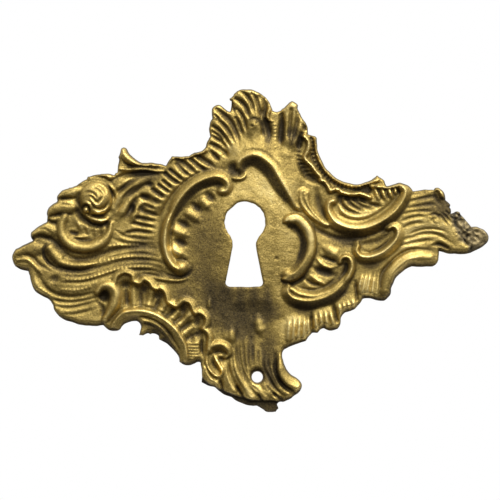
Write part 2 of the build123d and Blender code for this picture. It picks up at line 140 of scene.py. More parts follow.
class Relief:
    """The front's height over the flat back, and its stains and painted shade, on a fine raster."""

    def __init__(self, low, high, pitch):
        self.low = low
        self.pitch = pitch
        self.x = np.arange(low[0], high[0], pitch)
        self.z = np.arange(low[1], high[1], pitch)
        self.height = np.full((len(self.z), len(self.x)), PLATE)
        self.stain_and_shade = np.zeros_like(self.height)
        self.gilt = np.zeros_like(self.height)
        self.pitting = np.zeros_like(self.height)

    def window(self, low, high):
        """The rows and columns of the raster between two corners."""
        col = [int(np.clip((v - self.low[0]) / self.pitch + k, 0, len(self.x)))
               for v, k in ((low[0], 0), (high[0], 2))]
        row = [int(np.clip((v - self.low[1]) / self.pitch + k, 0, len(self.z)))
               for v, k in ((low[1], 0), (high[1], 2))]
        return slice(*row), slice(*col)

    def along(self, way, reach):
        """Cells within reach of a line: window, distance, share along it, side (left is +1)."""
        line = smooth_way(way)
        part = self.window(line.min(0) - reach, line.max(0) + reach)
        x = self.x[part[1]][None, :]
        z = self.z[part[0]][:, None]
        far = np.full((z.size, x.size), FAR)
        share = np.zeros_like(far)
        side = np.ones_like(far)
        span = np.gradient(line, axis=0) if len(line) > 1 else np.array([[1.0, 0.0]])
        cells = int(reach / self.pitch) + 2
        last = max(len(line) - 1, 1)
        for k, (px, pz) in enumerate(line):
            i = int((pz - z[0, 0]) / self.pitch)
            j = int((px - x[0, 0]) / self.pitch)
            rows = slice(max(i - cells, 0), max(i + cells, 0))
            cols = slice(max(j - cells, 0), max(j + cells, 0))
            dx = x[:, cols] - px
            dz = z[rows] - pz
            d = np.hypot(dx, dz)
            near = d < far[rows, cols]
            far[rows, cols][near] = d[near]
            share[rows, cols][near] = k / last
            side[rows, cols][near] = (span[k, 0] * dz - span[k, 1] * dx)[near]
        return part, far, share, side

    def across(self, way, width, ends):
        """Cells round a line: window, distance, half the width on their side, size there, side."""
        left, right = width if isinstance(width, tuple) else (width / 2, width / 2)
        part, far, share, side = self.along(way, max(left, right))
        return part, far, np.where(side > 0, left, right), swell(share, ends), side

    def ridge(self, way, width, top, foot=1.7, ends=(1, 1), form=round_form, blend=0.12):
        """Raises the ground to a ridge with its crest on the line.

        A pair as width or form gives the left and the right of the crest apart.
        """
        thinnest = 0.05
        lowest = 0.4
        forms = form if isinstance(form, tuple) else (form, form)
        part, far, half, size, side = self.across(way, width, ends)
        u = far / (half * np.maximum(size, thinnest))
        rise = (top - foot) * (lowest + (1 - lowest) * size)
        new = foot + rise * np.where(side > 0, forms[0](u), forms[1](u))
        old = self.height[part]
        lift = np.clip(0.5 + 0.5 * (new - old) / blend, 0, 1)
        mixed = old + (new - old) * lift + blend * lift * (1 - lift)
        self.height[part] = np.where(u < 1, mixed, old)

    def add(self, way, width, height, ends=(0.3, 0.3), form=soft_form, stain_and_shade=0.0, gilt=0.0):
        """Adds to the ground along the line; a negative height cuts into it."""
        thinnest = 0.35
        part, far, half, size, _ = self.across(way, width, ends)
        u = far / (half * (thinnest + (1 - thinnest) * size))
        shape = form(u) * (u < 1) * size
        self.height[part] += height * shape
        self.stain_and_shade[part] += stain_and_shade * shape
        self.gilt[part] += gilt * shape

    def cut(self, way, width, depth, stain_and_shade=0.5, ends=(0.25, 0.25), form=soft_form):
        self.add(way, width, -depth, ends, form, stain_and_shade)

    def paint(self, way, width, stain_and_shade, ends=(0.4, 0.4), form=soft_form):
        self.add(way, width, 0.0, ends, form, stain_and_shade)

    def dome(self, centre, radii, height, form=soft_form, stain_and_shade=0.0):
        rx, rz = radii
        part = self.window((centre[0] - rx, centre[1] - rz), (centre[0] + rx, centre[1] + rz))
        u = np.hypot((self.x[part[1]][None, :] - centre[0]) / rx,
                     (self.z[part[0]][:, None] - centre[1]) / rz)
        self.height[part] += height * form(np.minimum(u, 1))
        self.stain_and_shade[part] += stain_and_shade * form(np.minimum(u, 1))

    def ball(self, centre, radius, top, foot=1.8, form=round_form):
        self.ridge([centre], radius * 2, top, foot, form=form)

    def beads(self, way, pitch, radius, height):
        steps = 12
        line = smooth_way(way, pitch / steps)
        for centre in line[::steps]:
            self.dome(centre, (radius, radius), height)

    def sink(self, corners, depth, edge, stain_and_shade=0.0):
        """Lowers, or with a negative depth raises, the ground inside a closed line, easing in over edge."""
        ring = smooth_way(list(corners) + [corners[0]], 0.3)
        part, far, _, _ = self.along(ring, edge)
        inside = within(self.x[part[1]][None, :], self.z[part[0]][:, None], ring)
        rise = np.where(inside, ease(np.minimum(far / edge, 1)), 0)
        self.height[part] -= depth * rise
        self.stain_and_shade[part] += stain_and_shade * rise

    def at(self, field, points):
        """A field's values at points, blended between the four cells round each."""
        col = np.clip((points[:, 0] - self.low[0]) / self.pitch, 0, len(self.x) - 1.001)
        row = np.clip((points[:, 1] - self.low[1]) / self.pitch, 0, len(self.z) - 1.001)
        j = col.astype(int)
        i = row.astype(int)
        u = col - j
        v = row - i
        return ((field[i, j] * (1 - u) + field[i, j + 1] * u) * (1 - v)
                + (field[i + 1, j] * (1 - u) + field[i + 1, j + 1] * u) * v)


# The carving, piece by piece

def carve_field(relief):
    """The smooth ground around the keyhole, a little crowned, with old drips of patina below it."""
    relief.dome((0.5, -3.5), (15, 15), 0.7)
    relief.sink([(-3, -16), (2, -15), (6, -17), (6, -24), (4, -28), (-1, -25), (-3, -20)], 0.35, 3.0)
    relief.add([(2.5, -18.8), (2.9, -20.8), (3.5, -22.6)], 2.8, 0.5, gilt=1.8)
    relief.add([(-2.6, -24.4), (-2.5, -22.8), (-2.8, -21)], 1.9, 0.4, gilt=1.0)
    relief.dome((-3.2, -22.6), (1.7, 1.5), 0.25, stain_and_shade=-0.7)
    relief.cut([(-1.6, -21), (-1.6, -24)], 0.45, 0.25, 0.5)
    relief.add([(-7.1, -15), (-7.2, -17.5)], 1.1, 0.35, gilt=0.9)
    relief.dome((6.3, -7.3), (0.6, 0.5), -0.2, stain_and_shade=0.5)
    for drip, width, stain_and_shade in (
            ([(-3.8, -13.2), (-3.8, -17), (-3.2, -20.6)], 4.2, 0.6),
            ([(-0.8, -13.2), (-0.9, -18), (-0.4, -24.5)], 2.8, 0.55),
            ([(1.8, -13.2), (1.7, -16), (1.9, -20)], 2.6, 0.55),
            ([(-6.8, -12.6), (-6.6, -15.5), (-6, -18.6)], 3.0, 0.45),
            ([(4.4, -13), (4.5, -15.4), (4.9, -17.6)], 2.0, 0.45),
            ([(1.2, -21), (1.4, -27)], 1.6, 0.35)):
        relief.paint(drip, width, stain_and_shade, ends=(0.8, 0.15))


def carve_left_scroll(relief):
    """The large C-scroll left of the keyhole, with its lobes."""
    relief.ridge([(-4.6, 6.2), (-3.8, 6.3), (-3.4, 7.1), (-3.8, 8.1), (-5.2, 8.9), (-7.3, 8.7),
                  (-10.2, 7.3), (-12.7, 4.8), (-14.5, 1.7), (-15.3, -0.8)],
                 (2.1, 2.3), 3.4, ends=(0.75, 0.4), form=(slope_form, shoulder_form))
    relief.ridge([(-13.7, 3.3), (-15, 1), (-15.8, -1.6), (-16, -4.3), (-15.5, -6.8), (-14.4, -8.7),
                  (-13.2, -9.4)], (1.3, 1.5), 3.4, ends=(0.5, 1), form=shoulder_form)
    relief.add([(-3.8, 8.1), (-5.2, 8.95), (-7.3, 8.8), (-10.2, 7.4), (-12.7, 4.9), (-14.5, 1.8),
                (-15.5, -1.2), (-15.8, -4.3), (-15.3, -6.8), (-14.2, -8.6)], 0.9, 0.12, gilt=0.35)
    # Painted shade on the inner wall under the outer rim, which faces down away from the light.
    relief.paint([(-4.9, 7.3), (-6, 7.8), (-7.6, 7.7), (-9.6, 6.7), (-11.4, 5.1), (-13, 2.9), (-14, 0.9),
                  (-14.6, -0.9)], 1.7, 0.95, ends=(0.8, 0.2), form=shelf_form)
    relief.add([(-5.2, 6.3), (-6.6, 6.6), (-8.4, 6.1), (-10.2, 5), (-12, 3), (-13.3, 0.6),
                (-14, -1.3)], 1.1, 0.16, gilt=0.3)
    relief.cut([(-13.8, 1), (-14.5, -1.4), (-14.8, -4.2), (-14.4, -6.4), (-13.6, -7.6)], 0.5, 0.28, 0.5)
    relief.ridge([(-19.5, -10.9), (-16, -11.5), (-13.5, -11.7), (-11.7, -11.3), (-10.7, -10.2)], 0.9, 2.4,
                 ends=(0.2, 0.2))
    for lobe in ([(-8.4, 4.2), (-7, 2.7)], [(-11.2, 1.7), (-9.1, 0.3)], [(-14, -1.7), (-11.5, -2.7)],
                 [(-14.2, -5.5), (-12.1, -6.8)]):
        relief.add(lobe, 2.5, 0.48, ends=(0.95, 0.4), gilt=0.3)
    for hollow in ([(-7.5, 5.5), (-6.1, 4.3)], [(-10.3, 3.4), (-8.8, 2.2)], [(-13.1, 0), (-11.3, -0.9)],
                   [(-13.7, -3.8), (-11.7, -4.6)]):
        relief.cut(hollow, 2.0, 0.42, 1.0, ends=(0.7, 0.4))
    relief.cut([(-13.7, -7.4), (-12.7, -7.8), (-11.4, -7.6)], 0.9, 0.35, 0.7)
    relief.ball((-12.8, -9.2), 1.75, 3.35, form=arch_form)
    relief.cut([(-16.6, -9.8), (-15, -10.7), (-13.2, -11), (-11.5, -10.6), (-10.6, -9.4), (-10.7, -8.3)],
               0.9, 0.3, 0.75)


def carve_top_scroll(relief):
    """The S-scroll over the keyhole: a crisp lip with a dark wall under it."""
    wall = [(-1.2, 10.4), (-1.1, 11.3), (-0.5, 12.2), (0.5, 12.8), (1.5, 13.05), (2.6, 12.9), (3.7, 12.3),
            (5.3, 10.8), (6.7, 8.5), (8.2, 5.9), (9.3, 4), (10.1, 2.7)]
    relief.ridge(wall, (6.6, 2.4), 3.15, 1.85, ends=(0.6, 0.35), form=(shoulder_form, slope_form))
    lip = [(-1.5, 10.6), (-1.4, 11.6), (-0.8, 12.5), (0.4, 13.15), (1.5, 13.4), (2.7, 13.2), (3.9, 12.55),
           (5.6, 11), (7, 8.7), (8.5, 6.05), (9.6, 4.2), (10.4, 2.9)]
    relief.add(lip, 1.1, 0.3, ends=(0.8, 0.6), form=arch_form, gilt=0.5)
    relief.cut([(-2, 12.6), (-1.2, 13.4), (0.2, 14.1), (1.6, 14.4), (3.1, 14.2), (4.6, 13.4), (6.3, 11.7),
                (7.8, 9.4)], 0.6, 0.14, 0.4)
    # Painted shade on the wall under the lip, which faces down away from the light.
    relief.paint([(-0.5, 10.4), (0, 11.3), (0.9, 11.9), (2.1, 11.9), (3.4, 11), (4.6, 9.8), (6, 7.7),
                  (7.7, 5.1), (8.8, 3.3), (9.7, 2.1)], 2.1, 1.2, ends=(0.8, 0.35), form=shelf_form)
    relief.dome((-2.4, 10.7), (1.6, 1.8), -0.6, stain_and_shade=1.3)
    relief.dome((-1.5, 9.9), (1.1, 1), -0.35, stain_and_shade=1.0)
    relief.ridge([(-3.4, 9.3), (-2.6, 8.75), (-1.5, 8.55), (-0.6, 8.7), (0, 9.2), (0.1, 9.9)], 0.9, 2.7,
                 ends=(0.4, 0.4))


def carve_right_scrolls(relief):
    """The three C-scrolls right of the keyhole, and what lies between them."""
    relief.sink([(12.5, -1.2), (16.2, -2.8), (20, -4), (22.4, -4.6), (22.6, -7.5), (21.5, -10.5),
                 (19, -12.8), (14.5, -14.2), (10.4, -12.6), (11.8, -9.2), (13, -6)], -0.25, 2.0)
    relief.add([(15.7, -4.9), (17.4, -6.1), (18.9, -7.1)], 2.9, 0.5, gilt=0.7)
    relief.cut([(14.9, -6.8), (16.7, -7.5), (18.6, -8.2)], 1.1, 0.42, 0.95)
    relief.add([(14.3, -7.3), (15.4, -8.5), (16.9, -9.1), (18.2, -8.9)], 1.1, 0.42, gilt=0.45)
    relief.cut([(13.4, -9), (15.4, -10), (18, -10.6)], 2.3, 0.5, 1.1)
    relief.add([(12.9, -10.6), (14.3, -11.6), (15.8, -12.4)], 1.1, 0.42, gilt=0.45)
    relief.cut([(11.6, -11.2), (13.6, -12.4), (15.6, -12.8)], 1.3, 0.4, 0.8)

    small = [(9.2, 0), (10.2, 0.1), (11.2, -0.7), (12.2, -2.2), (12.6, -4.2), (12.4, -6.1), (11.4, -8.2),
             (10, -9.9), (8.6, -10.6)]
    relief.ridge(small, (2, 1.8), 3.35, form=(shelf_form, slope_form))
    relief.add([(9.3, 0.4), (10.5, 0.5), (11.7, -0.4), (12.7, -2.1), (13.1, -4.2), (12.9, -6.2),
                (11.9, -8.4), (10.4, -10.1), (8.9, -10.7)], 1.6, 0.14, ends=(0.7, 0.7), gilt=0.9)
    # Painted shade on the small scroll's inner wall and on its lower outer face, which face away from the
    # light.
    relief.paint([(9, -0.7), (9.9, -1.2), (10.9, -2.2), (11.6, -3.6), (11.7, -4.8), (11.4, -6.2),
                  (10.8, -7.8), (9.9, -9.1)], 1.7, 1.4, ends=(0.9, 0.4), form=shelf_form)
    relief.paint([(13.4, -5.6), (13, -7.2), (11.7, -9.2), (10, -10.7), (8.4, -11.4)],
                 1.9, 0.75, ends=(0.2, 0.8), form=shelf_form)
    relief.ball((8.5, -10.4), 1.35, 3.1, form=arch_form)
    relief.add([(12.4, -6.4), (11.4, -8.4), (10, -10), (8.6, -10.5)], 0.6, 0.12, ends=(0.3, 0.9), gilt=0.9)
    relief.cut([(7, -10.6), (7.4, -11.7), (8.4, -12.3), (10, -12.1), (11.6, -11.2), (12.6, -10)],
               1.2, 0.45, 1.0)

    relief.ridge([(9.2, -13.4), (11, -14.4), (14, -14.8), (17, -13.8), (19, -12), (20.2, -10.2)],
                 3.0, 3.2, ends=(0.8, 0.4), form=shoulder_form)
    lower = [(8.7, -12.8), (8.5, -13.9), (9.2, -14.9), (10.6, -15.5), (12.5, -15.75), (14.4, -15.5),
             (17.1, -14.5), (19.5, -12.4), (20.9, -10.4)]
    relief.ridge(lower, (0.9, 2.2), 3.45, ends=(0.8, 0.35), form=(arch_form, slope_form))
    relief.ridge([(18.6, -13.2), (20.2, -11.5), (21.1, -9.8), (21.3, -8.4), (20.9, -7.3), (20, -6.9),
                  (19.2, -7.3), (18.9, -8.1)], (1.2, 1.2), 3.4, ends=(0.4, 0.7), form=shoulder_form)
    relief.cut([(9.9, -12.4), (11.4, -13.2), (13.5, -13.5), (16, -12.8), (17.8, -11.3), (18.9, -9.7)],
               0.6, 0.24, 0.55)
    # Painted shade on the lower scroll's outer wall, which faces down.
    relief.paint([(8.4, -14.8), (9.4, -16), (12.2, -16.7), (14.8, -16.3), (18, -14.9), (20.4, -12.7),
                  (21.7, -10.4)], 1.9, 0.85, ends=(0.8, 0.3), form=shelf_form)
    relief.beads([(9, -15.6), (10.4, -16.3), (12.4, -16.6), (14.8, -16.2), (17.8, -15), (20.2, -12.9)],
                 0.55, 0.4, 0.07)
    relief.cut([(19.3, -8.7), (20, -8.4), (20.1, -9.6), (19.3, -10.9)], 1.2, 0.45, 0.85)
    relief.paint([(19.5, -7.9), (19.6, -9.4), (19.1, -11), (18.2, -12.2)], 1.8, 0.7, ends=(0.6, 0.1))

    middle = [(22.5, -4.7), (22.2, -5.7), (23, -6.8), (24.9, -7), (27.4, -6.1), (29.6, -4.2),
              (30.5, -2.5), (30.2, -1.3), (29.4, -0.9), (28.6, -1.3)]
    relief.ridge(middle, (1.2, 1.8), 3.25, ends=(0.8, 0.7), form=(shoulder_form, slope_form))
    relief.cut([(23.2, -5), (24, -5.9), (25.2, -6), (27, -5.1), (28.6, -3.7), (29.4, -2.3)],
               0.55, 0.28, 0.6)
    # Painted shade on the middle scroll's lower slope, which faces down.
    relief.paint([(22.2, -7.6), (23.4, -8.5), (25.3, -8.7), (27.8, -7.7), (30.4, -5.6), (31.6, -3.2)],
                 1.3, 0.5, form=shelf_form)
    relief.sink([(19.5, -4.2), (23, -3.4), (27, -2.6), (29, -1.8), (28.8, -3.2), (27, -4.8),
                 (24.4, -5.4), (21, -5.4)], 0.3, 1.5, 0.3)


def carve_shell(relief):
    """The crescent shell right of the keyhole and the comma leaf beside it."""
    relief.sink([(18.2, 3.6), (19, 1.4), (22, 0.2), (25, 0.6), (28, 2.2), (30.6, 5.2), (30.4, 6.6),
                 (26, 6.8), (24.6, 4.9), (20.5, 5.4)], -0.4, 1.2)
    rim = [(17.5, 4.2), (16.8, 3.9), (16.5, 2.6), (17.1, 1), (18.3, -0.3), (20.9, -1.3), (23.8, -1.3),
           (26.7, -0.2), (29.7, 1.9), (31.5, 4.3), (32, 6), (31.3, 7.2)]
    relief.ridge(rim, (2.4, 1.9), 3.5, ends=(0.6, 0.7), form=(shoulder_form, slope_form))
    relief.add(rim, 0.8, 0.13, ends=(0.8, 0.8), gilt=0.35)
    relief.cut([(17.7, 3.6), (17.9, 1.9), (18.9, 0.6), (21, -0.2), (23.6, -0.1), (26.2, 0.9), (28.8, 2.8),
                (30.5, 4.9)], 0.6, 0.22, 0.4)
    relief.add([(18.8, 3.4), (19.2, 2.2), (20.3, 1.2), (22, 0.8), (24, 1), (26.4, 2)], 1.2, 0.25, gilt=0.4)
    for flute in ([(18.9, 4.7), (19.3, 3.4), (20.3, 2.4), (21.8, 1.8), (23.6, 1.6)],
                  [(20.4, 4.6), (21, 3.6), (22.2, 2.7), (24.2, 2.1)],
                  [(21.8, 4.4), (22.6, 3.6), (23.9, 2.9), (26.2, 2.5)],
                  [(23.3, 4.3), (24.2, 3.8), (25.6, 3.3), (27.6, 3.1)]):
        relief.cut(flute, 1.35, 0.48, 0.85, ends=(1, 0.05))
    relief.cut([(17.9, 5.1), (19.6, 4.9), (21.5, 4.6), (23.5, 4.4), (24.9, 4.1)], 1.2, 0.4, 0.8)
    for rib in ([(25.9, 6.4), (26.9, 4)], [(27.3, 6.5), (28.1, 4.2)],
                [(28.7, 6.5), (29.3, 4.7)], [(29.9, 6.6), (30.2, 5.4)]):
        relief.add(rib, 0.9, 0.4, ends=(0.9, 0.2), gilt=0.5)
    for gap in ([(26.6, 6.3), (27.5, 4)], [(28, 6.4), (28.7, 4.2)],
                [(29.3, 6.5), (29.8, 4.9)], [(30.5, 6.5), (30.7, 5.4)]):
        relief.cut(gap, 0.8, 0.35, 0.9, ends=(0.9, 0.1))
    relief.ridge([(25.2, 7.1), (26.5, 7), (28, 6.9), (29.5, 7.1), (30.6, 7.4)], 0.8, 2.95)
    # Painted shade on the shell rim's outer wall, which faces down.
    relief.paint([(16, -1.3), (18.6, -1.9), (21.6, -2.2), (25, -1.6), (28, -0.2), (30.6, 1.4),
                  (32.4, 3.8)], 1.5, 0.7, form=shelf_form)
    relief.beads([(16.4, 0.4), (17.6, -1), (19.4, -1.8), (21.6, -2.1), (24, -1.9), (26.6, -1),
                  (29, 0.4), (31, 2.4)], 0.55, 0.4, 0.07)
    relief.cut([(10, 4), (10.2, 2.7), (11.2, 1.1), (12.8, -0.4), (14.6, -1.7), (16.4, -2.6), (18.4, -3.2),
                (21, -3.5), (23.6, -3.1), (26.4, -2.1), (28.3, -1)], 1.6, 0.3, 0.8, ends=(0.4, 0.4))

    relief.cut([(14.3, 6.4), (14.4, 5), (14.8, 3.2), (15.6, 1.6), (16.4, 0.4)],
               2.2, 0.3, 0.7, ends=(0.4, 0.3))
    relief.sink([(10.5, 6.5), (11.6, 7), (13, 6.2), (13.2, 4.3), (14, 2.6), (15.4, 1), (17.4, -0.7),
                 (15.9, -1.3), (13.7, -0.1), (12, 1.4), (10.8, 3.1), (10.4, 4.7)], -0.7, 0.9)
    relief.cut([(12.2, 5), (12.2, 5.8), (11.7, 5.9), (11.5, 5.2), (11.7, 4.2), (12.3, 3), (13.4, 1.6),
                (15, 0.1), (16.4, -0.8)], 0.5, 0.26, 0.5, ends=(0.8, 0.2))
    relief.cut([(12.7, 4.2), (13, 3.3), (13.7, 2.2), (14.8, 1)], 0.45, 0.18, 0.35)
    relief.add([(11.3, 6.4), (10.9, 5.6), (11, 4.4), (11.6, 2.9), (13, 1.2), (14.8, -0.4)],
               0.8, 0.18, gilt=0.3)


def carve_serrated_band(relief):
    """The wavy ribbon and the toothed hollow along the upper right edge."""
    relief.sink([(10.2, 14.2), (11.8, 15), (11.2, 13.2), (12.3, 11.9), (13.4, 10.5), (14.6, 9), (15, 7.4),
                 (12.6, 7.6), (10.8, 9.2), (10, 12)], 0.7, 1.4, 0.8)
    relief.sink([(12.6, 17), (14, 16.8), (14.3, 13.6), (15.4, 11), (17, 9), (19, 7.7), (21.5, 7),
                 (25, 7.5), (25, 5.6), (21, 6.1), (18, 7), (16, 8.6), (14, 11), (12.8, 12.8), (13.2, 15)],
                0.5, 0.5, 0.9)
    ribbon = [(11.8, 17), (12.5, 16.2), (12.7, 15.2), (12.3, 13.8), (11.9, 12.8), (12.4, 12), (13.3, 11.2),
              (13.9, 10.3), (14.6, 9.5), (15.1, 8.9), (15.1, 8.3), (15.8, 8.1), (16.3, 7.5), (16.7, 6.9),
              (17, 6.2), (17.8, 6.5), (18.6, 6.4), (19.3, 5.9), (20, 5.7), (20.8, 5.5), (21.8, 5.5),
              (23, 5.6), (24.9, 4.9)]
    relief.ridge(ribbon, 1.2, 3.1, form=arch_form)
    relief.add(ribbon, 0.8, 0.05, gilt=0.4)
    relief.ridge([(13.9, 17), (14.2, 15.5), (14.5, 13.6), (15.5, 11.2), (17, 9.3), (19, 8), (21.5, 7.3),
                  (24, 7.7), (26.5, 8.3)], 0.9, 2.7, form=arch_form)
    relief.beads([(13.4, 16.2), (13.4, 14.2), (13.9, 12.2), (15, 10.3), (16.6, 8.6), (18.6, 7.4),
                  (21, 6.7), (23.6, 6.8)], 0.8, 0.42, 0.5)
    for way in ([(10.3, 13.6), (11.5, 13.2)], [(10.2, 12.8), (11.4, 12.5)], [(10.4, 12), (11.8, 11.8)],
                [(10.8, 11.2), (12.4, 11.1)], [(11.4, 10.4), (13, 10.4)], [(12, 9.6), (13.6, 9.7)]):
        relief.add(way, 0.55, 0.28, ends=(0.3, 0.8), gilt=0.2)


def carve_crest(relief):
    """The three fluted lobes at the top."""
    relief.add([(-5.8, 21.6), (-3.4, 17.8), (-2, 14.8)], 6.0, 0.55, ends=(0.9, 0.4))
    relief.add([(1, 25.2), (1.6, 20.5), (2.4, 15.8)], 7.0, 0.65, ends=(1, 0.1))
    relief.add([(9.5, 22.8), (9.2, 18), (8.2, 13.8)], 5.6, 0.7, ends=(0.9, 0.4))
    flutes = (
        ([(-5.8, 22.4), (-4.5, 21.5), (-3, 20), (-2.1, 18.5), (-1.3, 16.4), (-1, 15.2)], 1.4),
        ([(-5.6, 20.3), (-4.5, 19.5), (-3.4, 18.2), (-2.6, 16.8), (-1.9, 15.2)], 1.1),
        ([(-6.4, 19), (-5.2, 18.2), (-4.1, 16.9), (-3.2, 15.5), (-2.7, 14.4)], 1.0),
        ([(-6.3, 16.9), (-5.3, 16.3), (-4.2, 15.3), (-3.4, 14.2)], 1.0),
        ([(-6.8, 15.5), (-5.5, 14.9), (-4.2, 14), (-3, 12.6)], 1.3),
        ([(-6.7, 13.9), (-5.8, 13), (-5, 12)], 1.0),
        ([(-1.7, 22.5), (-1, 21.8), (-0.2, 20.4), (0.2, 18.8), (0.4, 17.4)], 0.9),
        ([(-1.9, 20.7), (-1.4, 20), (-0.9, 18.5), (-0.4, 16.9)], 0.9),
        ([(-1.9, 24.5), (-0.8, 23.9), (0.2, 22.8), (0.7, 21.3), (1, 20.3)], 1.2),
        ([(-0.8, 25.9), (0.3, 25.2), (1.1, 24), (1.6, 22.6), (2, 21)], 1.1),
        ([(1.4, 25.5), (2.2, 24.6), (2.6, 23.2), (3, 21.8), (3.3, 20)], 1.1),
        ([(3.1, 25), (3.7, 24.2), (4, 22.8), (3.9, 21.5), (4.3, 19.6), (4.9, 17.5), (4.8, 15.4)], 1.5),
        ([(3, 20.5), (3.5, 18.8), (3.7, 16.6)], 0.9),
        ([(7.3, 21.3), (7.4, 19.5), (7.2, 17.2), (7, 14.6)], 1.6),
        ([(9.2, 22.3), (9.1, 20.5), (8.9, 18.5), (8.6, 15.6)], 1.2),
        ([(10.4, 21.8), (10.3, 20), (9.9, 18), (9.6, 15.4)], 1.3),
        ([(11.7, 19.3), (11.9, 18.8), (11.7, 18)], 0.9), ([(11.3, 17.6), (10.9, 15.8), (10.6, 14.2)], 1.3),
        ([(-6, 21.3), (-5, 20.3)], 0.6), ([(-6.5, 18), (-5, 16.9), (-4, 15.4)], 0.6),
    )
    for way, width in flutes:
        relief.cut(way, width * 1.3, 0.32 + 0.28 * width, 0.35 + 0.35 * width, ends=(0.6, 0.02))
    relief.ridge([(5.2, 23.2), (4.8, 22.2), (4.5, 21), (4.9, 20.2), (5.5, 20)], 0.8, 2.8, ends=(0.8, 0.4))
    relief.beads([(5.9, 19.4), (6, 17.2), (6, 14.8)], 0.75, 0.36, 0.2)
    relief.cut([(-2.9, 24.4), (-2.5, 23), (-2, 21.5)], 1.1, 0.5, 0.8)


def carve_fluted_band(relief):
    """The band of slots that runs round the outside of the left C-scroll."""
    relief.add([(-7.5, 11.4), (-11, 10.2), (-14, 8.3), (-16.6, 5.6), (-18.4, 2.6), (-19.4, -0.8)],
               5.6, 0.75, ends=(0.5, 0.3))
    slots = (
        ([(-20.4, 5), (-18.4, 4.2), (-16.4, 3.6)], 1.4), ([(-20, 3.4), (-17.9, 2.5)], 0.8),
        ([(-21, 2.4), (-19, 1.7), (-17, 1.1)], 1.1), ([(-21.6, 0.8), (-17.5, 0)], 0.9),
        ([(-22.2, -0.3), (-20, -0.8), (-17.6, -1.3)], 0.8),
        ([(-23.5, -2.2), (-21.5, -1.9), (-17.8, -2.4)], 0.8),
        ([(-18.4, 6.4), (-17, 5.4), (-15.8, 4.7)], 1.1), ([(-17.2, 7.3), (-14.8, 5.6)], 0.8),
        ([(-16.3, 8.1), (-14.4, 6.5)], 0.8), ([(-15.9, 9.6), (-14.4, 8.3), (-12.7, 7.4)], 1.0),
        ([(-14.9, 10.3), (-12.1, 8)], 0.8), ([(-13.5, 11.5), (-12.2, 10), (-10.8, 9)], 1.0),
        ([(-13.4, 12.4), (-12, 11.5), (-9.6, 9.5)], 1.3), ([(-10.9, 12.5), (-9, 10.9), (-7.3, 10.1)], 1.0),
        ([(-10, 13.6), (-8, 12.1), (-5.8, 10.8)], 1.3),
    )
    low_slots = 6
    for k, (way, width) in enumerate(slots):
        deep = 0.7 if k < low_slots else 1.0
        relief.cut(way, width * 1.35, deep * (0.5 + 0.12 * width), 0.8 * deep, ends=(0.9, 0.1))
    relief.ridge([(-16, 11.6), (-14.3, 13), (-12.2, 13), (-10, 13.6), (-8, 14.2)], 0.9, 2.8)
    relief.cut([(-3.6, 10.6), (-5, 10.6), (-7.6, 10.2), (-10.4, 9.1), (-12.8, 7.3), (-14.8, 5),
                (-16.4, 2.2), (-17.3, -0.8), (-17.8, -4.2)], 0.9, 0.2, 0.2)


def carve_horn(relief):
    """The pointed leaf and the leaf spray between the rose and the left scroll."""
    relief.ridge([(-24.6, 14.3), (-23.9, 13.2), (-22.8, 12.2), (-21.5, 11.7), (-19.8, 11.5), (-17.5, 11.2)],
                 (1.1, 1.2), 3.0, ends=(0.7, 0.4), form=arch_form)
    relief.cut([(-24.6, 12.4), (-23.6, 11.5), (-22, 11.1), (-20, 11), (-18, 10.8)], 0.8, 0.35, 0.8)
    relief.ridge([(-25.2, 10.6), (-23.5, 10.4), (-22, 10.4), (-20, 10.4), (-18, 10.2), (-16, 10.1)],
                 1.2, 2.7, ends=(0.6, 0.3), form=arch_form)
    relief.cut([(-26.6, 8.2), (-24.4, 9.2), (-22, 9.6), (-19.8, 9.8), (-17.2, 9.4)], 1.7, 0.5, 1.1)
    for leaf, width, height in (
            ([(-26.2, 2.8), (-24.8, 4.6), (-23, 6.4), (-21.2, 7.9), (-19.2, 8.8)], 2.6, 0.6),
            ([(-25.4, 0.6), (-24.2, 2.4), (-23.2, 4), (-21.8, 5.4)], 1.9, 0.5),
            ([(-26.4, 6.2), (-24.8, 7.4), (-22.8, 8.5)], 1.4, 0.4),
            ([(-22.6, 0), (-21.8, 1.8), (-21.2, 3.4)], 1.6, 0.4)):
        relief.add(leaf, width, height, form=arch_form, gilt=0.2)
    for valley, width in (
            ([(-26, 5), (-24.4, 6.6), (-22.4, 8.1), (-20.6, 8.8)], 1.0),
            ([(-25.4, 2.6), (-24, 4.4), (-22.4, 6), (-20.4, 7.2), (-18.8, 7.6)], 1.3),
            ([(-24, 0.2), (-23, 2.2), (-22.2, 3.8), (-20.6, 5.2)], 1.3),
            ([(-25, 4), (-23.6, 5.6), (-21.8, 7.2)], 0.6)):
        relief.cut(valley, width * 1.2, 0.3, 0.5)
    for centre, radii in (((-19.8, 5), (1.5, 0.9)), ((-22.4, 2.6), (0.9, 1.2)),
                          ((-20.4, 2.9), (1, 0.7)), ((-19, 7.4), (1.2, 0.8))):
        relief.dome(centre, radii, -0.35, stain_and_shade=0.9)


